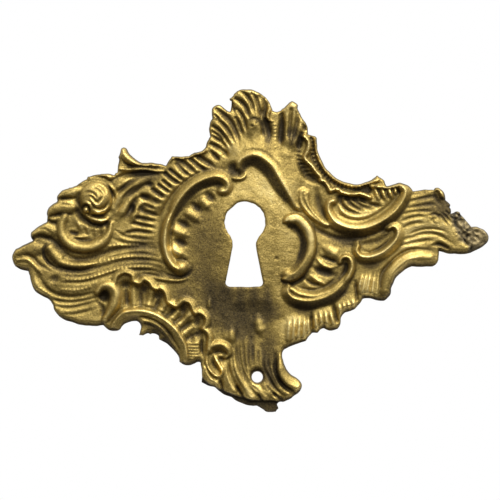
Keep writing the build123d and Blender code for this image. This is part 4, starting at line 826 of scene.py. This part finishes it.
def paint_stain_and_shade(relief):
    """Broad darkening and lightening of the colour, partly patina and rubbed places and partly painted
    shade and light: darker low on the field, in the sheltered parts and under the scrolls, lighter on the
    rubbed places and on faces turned to the light.
    """
    # Each dome darkens the colour, or lightens it with a negative amount; besides patina and rubbed places,
    # some are painted shade under the scrolls and painted light on faces turned to the light.
    for centre, radii, amount in (
            ((-1.5, -17), (9, 7), 0.75), ((-9, -13), (7, 5), 0.55), ((-8, -4), (6, 10), 0.65),
            ((1, -26), (6, 8), 0.4), ((5, -14), (4, 4), 0.2), ((5.5, -17.5), (3.5, 3.5), 0.4),
            ((-1, -21.6), (5, 2.8), 0.35), ((5.2, -25.6), (2.4, 3), 0.5), ((5, -29.8), (2.6, 5), 0.4),
            ((6.5, -31), (4, 4), 0.4), ((-3.5, -30.5), (4.5, 3.8), -0.45), ((9.6, -19.8), (2.4, 3.4), -0.6),
            ((9, -21.6), (2.4, 2.6), -0.3), ((11.2, -17.9), (3.4, 2), 0.8),
            ((-2.5, -19.4), (6, 3.8), 0.45), ((4.6, -18.6), (2.8, 2.4), 0.5),
            ((5.2, -22.8), (2.4, 2.6), 0.4), ((7.2, -14.6), (2, 2), -0.5),
            ((-1, -20.5), (1.8, 4), 0.4), ((12.6, -21.4), (1.6, 2.4), -0.4),
            ((-25, 4), (2.2, 2.6), -0.8), ((-24, 9.4), (2, 1.5), -0.9),
            ((-19.6, 9.2), (3, 1.6), 0.5), ((-4, 15.2), (1.8, 1.8), -0.6),
            ((20.2, -14.7), (1.8, 1.3), 0.6), ((18, -12.4), (1.8, 1.6), 0.4),
            ((-14.4, -6.4), (1.5, 2.4), -0.6), ((-12.2, -14.4), (2.6, 2), 0.45),
            ((-2, 9.2), (1.5, 1.3), 0.7), ((2.4, 20.6), (1.9, 2.3), 0.45),
            ((20.2, -4.4), (1.9, 1.6), 0.5), ((26, -6.6), (3.4, 1.4), -0.5),
            ((16.6, -0.7), (3.2, 1.5), -0.5), ((-20.2, 4.4), (1.9, 2.4), -0.6),
            ((-24, -13.6), (1.8, 2.2), -0.5), ((-16, -10.6), (2.2, 1.2), 0.5),
            ((-34.2, 5.2), (1.6, 1.6), -0.6), ((-34, -0.6), (1.6, 1.6), -0.6),
            ((3.2, 8), (6, 4.5), -0.4), ((7, 5.8), (4.5, 4.2), -0.4), ((10.5, 0), (4.5, 5), -0.5),
            ((-3, 6.4), (2.4, 2.4), -0.45), ((-5, 10.6), (4, 2), 0.4), ((4, 23), (4, 3), -0.4),
            ((9.4, 21.6), (3, 3.2), -0.4), ((9.2, 17), (2.4, 2.6), 0.5),
            ((10.9, 15.4), (1.9, 1.7), 0.3), ((-3, 14.5), (3, 3), -0.4), ((-17, 10.4), (4.5, 2.6), 0.4),
            ((-22, 5), (6, 7), 0.35), ((-29.5, 2.4), (4.5, 2.4), -0.4), ((-38, 2), (6, 6), 0.2),
            ((-39, -5.6), (3.5, 3), 0.45), ((-37.5, -10.5), (5, 4), 0.4), ((-33, -9.5), (5, 2.6), 0.35),
            ((-20, -5.5), (3.6, 3.2), 0.75), ((-16, -18), (10, 5), -0.2), ((17, -9.4), (3, 2.4), 0.5),
            ((18.2, -3.8), (3.6, 1.4), 0.6), ((21.6, 4), (3, 1.3), 0.45), ((22, 2), (8, 4), -0.35),
            ((24, -3.6), (7, 2.5), 0.4), ((24.8, -13), (2.4, 2.4), -0.45), ((25, -9.2), (2.6, 1.8), 0.5),
            ((28.2, -2), (1.6, 1.2), 0.6), ((29, -5.6), (2.4, 2.4), -0.4), ((27.6, -13), (2.6, 4), 0.4),
            ((33, -7.5), (7, 4), -0.5), ((34.5, -8.2), (4, 1.6), 0.4), ((35, -2), (8, 4.5), -0.6),
            ((38, 3.4), (5, 3.4), 0.75), ((36, -5.6), (4, 1.6), 0.6), ((13, 14.2), (2.2, 2.6), -0.4),
            ((11, -21), (5, 2.8), -0.4), ((-15.5, -5), (1.8, 4), -0.4), ((1, -33.4), (3, 2), -0.4),
            ((-43.5, -4.6), (3.4, 2.4), 0.45), ((-20.5, -9.4), (5, 2.6), 0.4),
            ((37.4, -4.6), (2.8, 2.2), 0.4), ((9.5, 10.6), (2.4, 2.4), 0.35),
            ((5, 14.6), (2.6, 2.2), 0.3), ((40.2, 2.8), (2.4, 2.4), 0.55),
            ((12.8, -1.6), (2.6, 2.6), -0.4), ((-31, -1.8), (2.8, 2), -0.45),
            ((25, -1.6), (2.6, 2.2), -0.4)):
        relief.dome(centre, radii, 0.0, form=arch_form, stain_and_shade=amount)
    for streak, width, amount in (
            ([(4.1, 19.8), (4.4, 17.6), (4.7, 14.8)], 2.2, 1.0),
            ([(7.2, 21), (7.3, 18), (7.6, 15)], 1.8, 0.5), ([(9.2, 17.8), (9.4, 14.6)], 1.6, 0.5),
            ([(10.8, 18), (10.6, 15), (10.9, 13)], 1.8, 0.6), ([(0.9, 17.8), (1.4, 14.8)], 0.9, 0.35),
            ([(2.6, 17.6), (2.7, 14.9)], 0.7, 0.3), ([(-1.4, 16.4), (-0.7, 14.2)], 0.9, 0.4),
            ([(6.8, 14.8), (8, 11.4)], 1.2, 0.35), ([(1.2, -22.6), (1.4, -28.4)], 1.6, 0.45),
            ([(3.4, -24.4), (4.4, -29.4), (6, -33)], 1.6, 0.5)):
        relief.paint(streak, width, amount, ends=(0.8, 0.1))


def soften(relief):
    """The small unevenness of a worn casting, and the pitted, broken tip of the right arm."""
    rng = np.random.default_rng(SEED)

    def unevenness(size):
        """Random waves of depth 1, about size cells long."""
        noise = blur(rng.normal(0, 1, relief.height.shape), size)
        return noise / noise.std()

    relief.height += 0.03 * unevenness(20.0) + 0.016 * unevenness(5.0) + 0.012 * unevenness(2.0)
    x = relief.x[None, :]
    z = relief.z[:, None]
    # The break starts at break_x, slants to the right below slant_top, and ends upward at break_top.
    break_x = 40.4
    break_top = 3.6
    slant_top = -0.2
    slant_depth = 5
    last_crack_x = 46.2
    wander = 0.4 * unevenness(6.0)
    start = break_x + 0.65 * np.clip(slant_top - z, 0, slant_depth)
    broken = ease((x - start + wander) / 1.4) * ease((break_top - z + wander) / 1.2)
    cracks = np.clip(np.exp(-(unevenness(3.0) / 0.22) ** 2) + np.exp(-(unevenness(6.0) / 0.16) ** 2), 0, 1)
    cracks *= ease((last_crack_x - x) / 1.2)
    sunk = 0.15
    crack_depth = 0.6
    lumps = 0.18 * unevenness(4.0) + 0.14 * unevenness(1.6)
    relief.height += broken * (lumps - sunk - crack_depth * cracks)
    relief.stain_and_shade += broken * (1.25 * cracks + 0.05)
    relief.pitting = broken


def carve():
    """The whole front; later pieces stand on what earlier ones left."""
    relief = Relief((-48.5, -40.0), (50.5, 28.5), RASTER)
    carve_field(relief)
    carve_top_scroll(relief)
    carve_crest(relief)
    carve_fluted_band(relief)
    carve_horn(relief)
    carve_left_wing(relief)
    carve_rose(relief)
    carve_frill(relief)
    carve_tail(relief)
    carve_ribbed_edge(relief)
    carve_right_arm(relief)
    carve_serrated_band(relief)
    carve_shell(relief)
    carve_right_scrolls(relief)
    carve_left_scroll(relief)
    nail_marks(relief)
    paint_stain_and_shade(relief)
    soften(relief)
    return relief


# The casting's mesh

def back_loops(node):
    """The closed lines round the flat back of the CAD part, in millimetres."""
    flat = 0.001
    mesh = node.data
    places = np.empty(len(mesh.vertices) * 3)
    mesh.vertices.foreach_get("co", places)
    places = places.reshape(-1, 3) / MM
    key, index = np.unique(np.round(places, 4), axis=0, return_inverse=True)
    edges = {}
    for poly in mesh.polygons:
        if max(abs(places[v][1]) for v in poly.vertices) < flat:
            ring = [int(index.ravel()[v]) for v in poly.vertices]
            for a, b in zip(ring, ring[1:] + ring[:1]):
                if (b, a) in edges:
                    del edges[(b, a)]
                else:
                    edges[(a, b)] = True
    onward = {a: b for a, b in edges}
    loops = []
    while onward:
        first, following = onward.popitem()
        ring = [first]
        while following != first:
            ring.append(following)
            following = onward.pop(following)
        loops.append(key[ring][:, [0, 2]])
    return loops


def even_ring(ring, pitch):
    """A closed line as points one pitch apart."""
    closed = np.vstack([ring, ring[:1]])
    run = np.concatenate([[0], np.cumsum(np.hypot(*np.diff(closed, axis=0).T))])
    count = int(run[-1] / pitch)
    at = np.linspace(0, run[-1], count, endpoint=False)
    return np.column_stack([np.interp(at, run, closed[:, k]) for k in (0, 1)])


def worn_keyhole(ring):
    """The keyhole as filed by hand: a flat at the upper left, a rounder neck, edges not quite true."""
    flat_low = np.array([-4.0, 1.6])
    flat_run = np.array([2.5, 2.2])
    neck_z = -4.3
    neck_reach = 2.6
    neck_rounds = 40
    nick_x = -3.0
    nick_z = -6.0
    run = flat_run / np.hypot(*flat_run)
    out = np.array([-run[1], run[0]])
    ring = ring - np.outer(np.clip((ring - flat_low) @ out, 0, None), out)
    for _ in range(neck_rounds):
        even = (np.roll(ring, 1, axis=0) + 2 * ring + np.roll(ring, -1, axis=0)) / 4
        neck = ease(1 - np.abs(ring[:, 1] - neck_z) / neck_reach)[:, None]
        ring = ring + (even - ring) * neck
    wave = np.sin(ring[:, 1] * 2.3 + ring[:, 0]) + np.sin(ring[:, 1] * 5.1 - 2 * ring[:, 0])
    away = ring / np.hypot(*ring.T)[:, None]
    nick = np.exp(-np.hypot(ring[:, 0] - nick_x, ring[:, 1] - nick_z) ** 2 / 0.2)
    return ring + away * (0.03 * wave + 0.18 * nick)[:, None]


def ring_turn(ring):
    """Twice the area of a ring, negative where it runs clockwise."""
    ahead = np.roll(ring, -1, axis=0)
    return np.dot(ring[:, 0], ahead[:, 1]) - np.dot(ring[:, 1], ahead[:, 0])


def burred_rim(ring):
    """The outline with its casting burrs and small waves."""
    ahead = np.roll(ring, -1, axis=0) - np.roll(ring, 1, axis=0)
    out = np.column_stack([ahead[:, 1], -ahead[:, 0]])
    out /= np.hypot(*out.T)[:, None]
    rng = np.random.default_rng(SEED)
    side = 4
    window = np.hanning(2 * side + 3)[1:-1]
    rough = np.convolve(np.pad(rng.normal(0, 1, len(ring)), side, mode="wrap"), window, mode="valid")
    push = 0.022 * rough
    burr_height = 0.2
    burr_spread = 0.05
    for spot in BURRS:
        push += burr_height * np.exp(-np.sum((ring - spot) ** 2, axis=1) / burr_spread)
    return ring + out * np.sign(ring_turn(ring)) * push[:, None]


def ring_distance(relief, rings, reach):
    """How far each cell of the raster is from the nearest ring, up to reach."""
    far = np.full(relief.height.shape, reach)
    for ring in rings:
        part, near, _, _ = relief.along(np.vstack([ring, ring[:1]]), reach)
        far[part] = np.minimum(far[part], near)
    return far


def metal_only(faces, sheet, holes):
    """The triangles that don't lie in a hole."""
    middles = np.array([sheet[list(f)].mean(axis=0) for f in faces])
    keep = np.ones(len(faces), bool)
    for ring in holes:
        keep &= ~within(*middles.T, ring)
    return [tuple(f) for f, kept in zip(faces, keep) if kept]


def soft_min(a, b, blend):
    """The lower of two heights, rounded over where they meet."""
    lift = np.clip(0.5 + 0.5 * (b - a) / blend, 0, 1)
    return b + (a - b) * lift - blend * lift * (1 - lift)


def cast_plate(relief):
    """The casting: a sheet cut to the outline, raised to the carved height, closed at the back."""
    loops = [even_ring(ring, RIM_PITCH) for ring in back_loops(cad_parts["keyhole_escutcheon"])]
    order = np.argsort([abs(ring_turn(ring)) for ring in loops])[::-1]
    outline = burred_rim(loops[order[0]])
    keyhole = worn_keyhole(loops[order[1]])
    pin_hole = loops[order[2]]
    pin_flare = 0.22
    sunk = pin_hole + pin_flare * (pin_hole - pin_hole.mean(axis=0))
    holes = [keyhole, sunk]
    loops = [outline, keyhole, sunk]
    back_rings = [outline, keyhole, pin_hole]

    # The rim falls away to a low edge, lower and flatter where lean is 1, along edges that face down.
    edge_reach = 2.0
    hole_reach = 1.2
    thinnest = 0.9
    rim_height = 1.45
    rim_slope = 3.0
    hole_bevel = 0.18
    bevel_width = 0.35
    edge_far = ring_distance(relief, [outline], edge_reach)
    hole_far = ring_distance(relief, holes, hole_reach)
    height = np.clip(relief.height, thinnest, None)
    height = blur(height, 0.9)
    lean = blur(np.clip(np.gradient(edge_far, RASTER, axis=0), 0, 1), 2.0)
    rim = rim_height - 0.75 * lean + (rim_slope - 1.5 * lean) * edge_far
    height = soft_min(height, rim, 0.35)
    height -= hole_bevel * ease(1 - hole_far / bevel_width)
    hollow = blur(height, 5.0) - height
    fine_hollow = blur(height, 2.0) - height
    slope_down = np.gradient(height, RASTER, axis=0)

    rng = np.random.default_rng(SEED)
    jitter = 0.008
    clearance = SHEET_PITCH * 0.55
    step_z = SHEET_PITCH * 0.866
    rows = []
    for k, z in enumerate(np.arange(outline[:, 1].min(), outline[:, 1].max(), step_z)):
        x = np.arange(outline[:, 0].min() + (k % 2) * SHEET_PITCH / 2, outline[:, 0].max(), SHEET_PITCH)
        rows.append(np.column_stack([x, np.full(len(x), z)]))
    points = np.vstack(rows)
    keep = within(*points.T, outline)
    for ring in holes:
        keep &= ~within(*points.T, ring)
    keep &= relief.at(edge_far, points) > clearance
    keep &= relief.at(hole_far, points) > clearance
    points = points[keep]
    points += rng.normal(0, jitter, points.shape)

    verts = np.vstack([*loops, points])
    edges = []
    start = 0
    for ring in loops:
        edges += [(start + k, start + (k + 1) % len(ring)) for k in range(len(ring))]
        start += len(ring)
    inside_only = 2
    near = 1e-5
    flat, _, faces, _, _, _ = delaunay_2d_cdt([Vector(p) for p in verts], edges, [], inside_only, near)
    sheet = np.array([(p.x, p.y) for p in flat])
    behind = np.vstack(back_rings)
    _, _, backs, _, _, _ = delaunay_2d_cdt([Vector(p) for p in behind], edges, [], inside_only, near)
    faces = metal_only(faces, sheet, holes)
    backs = metal_only(backs, behind, [keyhole, pin_hole])
    count = len(sheet)
    walls = [(a, b, count + b, count + a) for a, b in edges]
    front = np.arange(count + start) < count
    flat_xz = np.vstack([sheet, behind])
    depth = np.where(front, -relief.at(height, flat_xz), 0.0)

    mesh = bpy.data.meshes.new("escutcheon_casting")
    mesh.from_pydata(np.column_stack([flat_xz[:, 0], depth, flat_xz[:, 1]]) * MM, [],
                     faces + walls + [tuple(count + v for v in f) for f in backs])
    casting = bpy.data.objects.new("escutcheon_casting", mesh)
    bpy.context.collection.objects.link(casting)
    bpy.ops.object.select_all(action="DESELECT")
    casting.select_set(True)
    bpy.context.view_layer.objects.active = casting
    bpy.ops.object.mode_set(mode="EDIT")
    bpy.ops.mesh.select_all(action="SELECT")
    bpy.ops.mesh.normals_make_consistent(inside=False)
    bpy.ops.object.mode_set(mode="OBJECT")
    sharp_from = radians(55)
    bpy.ops.object.shade_smooth_by_angle(angle=sharp_from)

    # The stain raster is patina and painted shade and light together; hollows is the patina in the hollows.
    stain_and_shade = np.clip(blur(relief.stain_and_shade, 1.5), -0.6, 1.2)
    hollows = np.clip(hollow * 1.5, 0, 1) + np.clip(fine_hollow * 1.6, 0, 1)
    # Painted shade on slopes that face down, away from the light above.
    shade = np.clip(slope_down * 0.5, 0, 0.6) * 0.5
    dark = np.clip(0.62 * stain_and_shade + 0.45 * hollows + shade, -0.5, 1)
    crests = np.clip(-hollow * 1.5, 0, 1) * 0.45 + np.clip(-fine_hollow * 3.0, 0, 1) * 0.35
    worn = crests + 0.4 * relief.gilt
    tip = relief.at(relief.pitting, flat_xz)
    # The dark raw edge of the casting, made wider and darker by painted shade along edges that face down.
    wall = relief.at(np.clip(1 - edge_far / (0.2 + 0.5 * lean), 0, 1) * (0.35 + 0.65 * lean), flat_xz)
    for name, values in (("tarnish", relief.at(dark, flat_xz)),
                         ("wear", np.clip(relief.at(worn, flat_xz), 0, 1)), ("pitting", tip),
                         ("raw_edge", np.where(front, wall, 1.0)), ("back", np.where(front, 0.0, 1.0))):
        mesh.attributes.new(name, "FLOAT", "POINT").data.foreach_set("value", np.ascontiguousarray(values))
    return casting


# Finishes

class Reading:
    """A shader socket that can be reckoned with."""

    def __init__(self, tree, socket):
        self.tree = tree
        self.socket = socket

    def node(self, kind, settings=None, out=0, **sockets):
        """Adds a node: its settings first, then the values or links of its sockets by name."""
        made = self.tree.nodes.new(kind)
        for name, value in (settings or {}).items():
            if name == "stops":
                ramp = made.color_ramp
                while len(ramp.elements) < len(value):
                    ramp.elements.new(1.0)
                for element, (place, colour) in zip(ramp.elements, value):
                    element.position = place
                    element.color = colour
            else:
                setattr(made, name, value)
        for name, value in sockets.items():
            key = int(name[1:]) if name[0] == "_" and name[1:].isdigit() else name.replace("_", " ")
            if isinstance(value, Reading):
                self.tree.links.new(value.socket, made.inputs[key])
            else:
                made.inputs[key].default_value = value
        return Reading(self.tree, made.outputs[out])

    def maths(self, operation, a, b=0.0, clamp=False):
        return self.node("ShaderNodeMath", {"operation": operation, "use_clamp": clamp}, _0=a, _1=b)

    def __add__(self, other):
        return self.maths("ADD", self, other)

    def __sub__(self, other):
        return self.maths("SUBTRACT", self, other)

    def __mul__(self, other):
        return self.maths("MULTIPLY", self, other)

    def __rsub__(self, other):
        return self.maths("SUBTRACT", other, self)

    __radd__ = __add__
    __rmul__ = __mul__

    def clamp(self):
        return self.maths("ADD", self, 0.0, clamp=True)

    def mix(self, low, high):
        """A colour between low and high, by this reading."""
        return self.node("ShaderNodeMix", {"data_type": "RGBA", "clamp_factor": True}, out=2, _0=self,
                         _6=low, _7=high)


def rgb(r, g, b):
    return (r, g, b, 1.0)


def new_material(name):
    material = bpy.data.materials.new(name)
    material.use_nodes = True
    return material, material.node_tree


def aged_brass():
    """Gilt brass, rubbed bright on the crests and dark brown in the hollows, with painted shade on faces
    turned down and on the edges that face down.
    """
    material, tree = new_material("aged_gilt_brass")
    surface = tree.nodes["Principled BSDF"]
    start = Reading(tree, surface.outputs[0])
    place = start.node("ShaderNodeTexCoord", out=3)

    def attribute(name):
        return start.node("ShaderNodeAttribute", {"attribute_name": name}, out=2)

    def noise(scale, detail=3.0, roughness=0.55):
        return start.node("ShaderNodeTexNoise", Vector=place, Scale=scale, Detail=detail,
                          Roughness=roughness)

    tarnish = attribute("tarnish")
    wear = attribute("wear")
    pitting = attribute("pitting")
    raw_edge = attribute("raw_edge")
    back = attribute("back")

    cloud = noise(110.0)
    mottle = noise(420.0, 4.0)
    grain = noise(2300.0, 2.0)
    speck = noise(4600.0, 1.0)
    pits = start.node("ShaderNodeTexVoronoi", Vector=place, Scale=1100.0)

    # The darkening attribute brings patina and painted shade into the colour together.
    age = (0.36 + 0.70 * tarnish - 0.36 * wear + 0.22 * (cloud - 0.5) + 0.24 * (mottle - 0.5)
           + 0.28 * (grain - 0.5) + 0.50 * (speck - 0.5)).clamp()
    gilt = age.node("ShaderNodeValToRGB", {"stops": (
        (0.0, rgb(0.88, 0.70, 0.29)), (0.22, rgb(0.67, 0.50, 0.165)), (0.45, rgb(0.38, 0.275, 0.08)),
        (0.72, rgb(0.155, 0.112, 0.042)), (1.0, rgb(0.05, 0.037, 0.018)))}, Fac=age)
    scabs = (0.6 * mottle + 0.6 * grain + 0.1 - 0.9 * tarnish).clamp()
    crust = scabs.mix(rgb(0.04, 0.034, 0.024), rgb(0.52, 0.42, 0.24))
    tip = (pitting * 0.75).mix(gilt, crust)
    # The dark raw edge colour, deepened by painted shade on edges that face down.
    edge = (raw_edge * 0.8).mix(tip, rgb(0.085, 0.075, 0.06))
    behind = back.mix(edge, rgb(0.34, 0.265, 0.14))

    relief = (grain - 0.5) * 0.55 + (speck - 0.5) * 0.3 + (mottle - 0.5) * 0.5 + pitting * pits * 2.0
    bump = start.node("ShaderNodeBump", Height=relief, Strength=0.7, Distance=0.00014)

    tree.links.new(behind.socket, surface.inputs["Base Color"])
    rough = 0.48 + 0.14 * age + 0.14 * (grain - 0.5) + 0.15 * pitting + 0.1 * raw_edge
    tree.links.new(rough.clamp().socket, surface.inputs["Roughness"])
    tree.links.new((1.0 - 0.25 * tarnish - 0.3 * pitting).clamp().socket, surface.inputs["Metallic"])
    tree.links.new(bump.socket, surface.inputs["Normal"])
    return material


def white_wall():
    """The wall behind: white to the eye, and in anything that mirrors it or lets it through."""
    material, tree = new_material("white_wall")
    tree.nodes.clear()
    out = tree.nodes.new("ShaderNodeOutputMaterial")
    start = Reading(tree, out.inputs[0])
    seen = start.node("ShaderNodeLightPath")
    mirrored = start.node("ShaderNodeLightPath", out="Is Glossy Ray")
    through = start.node("ShaderNodeLightPath", out="Is Transmission Ray")
    paper = start.node("ShaderNodeBsdfDiffuse", Color=rgb(0.9, 0.9, 0.9))
    glow = start.node("ShaderNodeEmission", Color=rgb(1, 1, 1), Strength=1.0)
    mixed = start.node("ShaderNodeMixShader", _0=(seen + mirrored + through).clamp(), _1=paper, _2=glow)
    tree.links.new(mixed.socket, out.inputs[0])
    return material


def pale_floor():
    """The floor: plain pale paper, which takes the shadow."""
    material, tree = new_material("pale_floor")
    surface = tree.nodes["Principled BSDF"]
    surface.inputs["Base Color"].default_value = rgb(0.86, 0.86, 0.85)
    surface.inputs["Roughness"].default_value = 0.9
    return material


# Stage, light and camera

def flat_sheet(name, size, turn, place, material):
    """A flat sheet of the stage: laid, stood up if it is a wall, and moved to its place."""
    bpy.ops.object.select_all(action="DESELECT")
    bpy.ops.mesh.primitive_plane_add(size=1, location=(0, 0, 0))
    sheet = bpy.context.active_object
    sheet.name = name
    bpy.ops.object.mode_set(mode="EDIT")
    bpy.ops.transform.resize(value=(size[0], size[1], 1))
    if turn:
        bpy.ops.transform.rotate(value=turn, orient_axis="X", center_override=(0, 0, 0))
    bpy.ops.transform.translate(value=place)
    bpy.ops.object.mode_set(mode="OBJECT")
    sheet.data.materials.append(material)


def set_stage():
    flat_sheet("floor_sheet", (2.6, 1.3), 0, (0, 0.65, -0.25), pale_floor())
    flat_sheet("wall_sheet", (2.6, 1.6), radians(90), (0, 1.3, 0.5), white_wall())

    world = bpy.data.worlds.new("soft_room")
    bpy.context.scene.world = world
    world.use_nodes = True
    tree = world.node_tree
    room = Reading(tree, tree.nodes["Background"].outputs[0])
    around = room.node("ShaderNodeTexCoord")
    upward = room.node("ShaderNodeSeparateXYZ", out=2, Vector=around)
    ceiling = room.node("ShaderNodeValToRGB", {"stops": (
        (0.0, rgb(0.05, 0.045, 0.04)), (0.42, rgb(0.12, 0.115, 0.105)), (0.62, rgb(0.42, 0.41, 0.39)),
        (1.0, rgb(0.95, 0.94, 0.92)))}, Fac=upward * 0.5 + 0.5)
    tree.links.new(ceiling.socket, tree.nodes["Background"].inputs["Color"])

    for name, place, aim, size, power in (
            ("window_light", (0.40, -0.50, 0.90), (0.01, 0, 0), 0.75, 13.0),
            ("front_light", (0.12, -1.0, 0.42), (0.01, 0, 0), 0.5, 2.6)):
        lamp = bpy.data.lights.new(name, "AREA")
        lamp.size = size
        lamp.energy = power
        lamp_object = bpy.data.objects.new(name, lamp)
        bpy.context.collection.objects.link(lamp_object)
        lamp_object.location = place
        lamp_object.rotation_euler = (Vector(aim) - Vector(place)).to_track_quat("-Z", "Y").to_euler()


def set_camera():
    camera = bpy.data.cameras.new("front_camera")
    holder = bpy.data.objects.new("front_camera", camera)
    bpy.context.collection.objects.link(holder)
    distance = 0.6
    span = 0.1
    sensor = 36.0
    middle_x = 0.001
    middle_z = -0.0056
    camera.sensor_width = sensor
    camera.lens = sensor * distance / span
    holder.location = (middle_x, -distance, middle_z)
    holder.rotation_euler = (radians(90), 0, 0)
    bpy.context.scene.camera = holder


bpy.context.scene.view_settings.view_transform = "Standard"
casting = cast_plate(carve())
casting.data.materials.append(aged_brass())
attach(casting, "root")
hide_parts("keyhole_escutcheon")
set_stage()
set_camera()
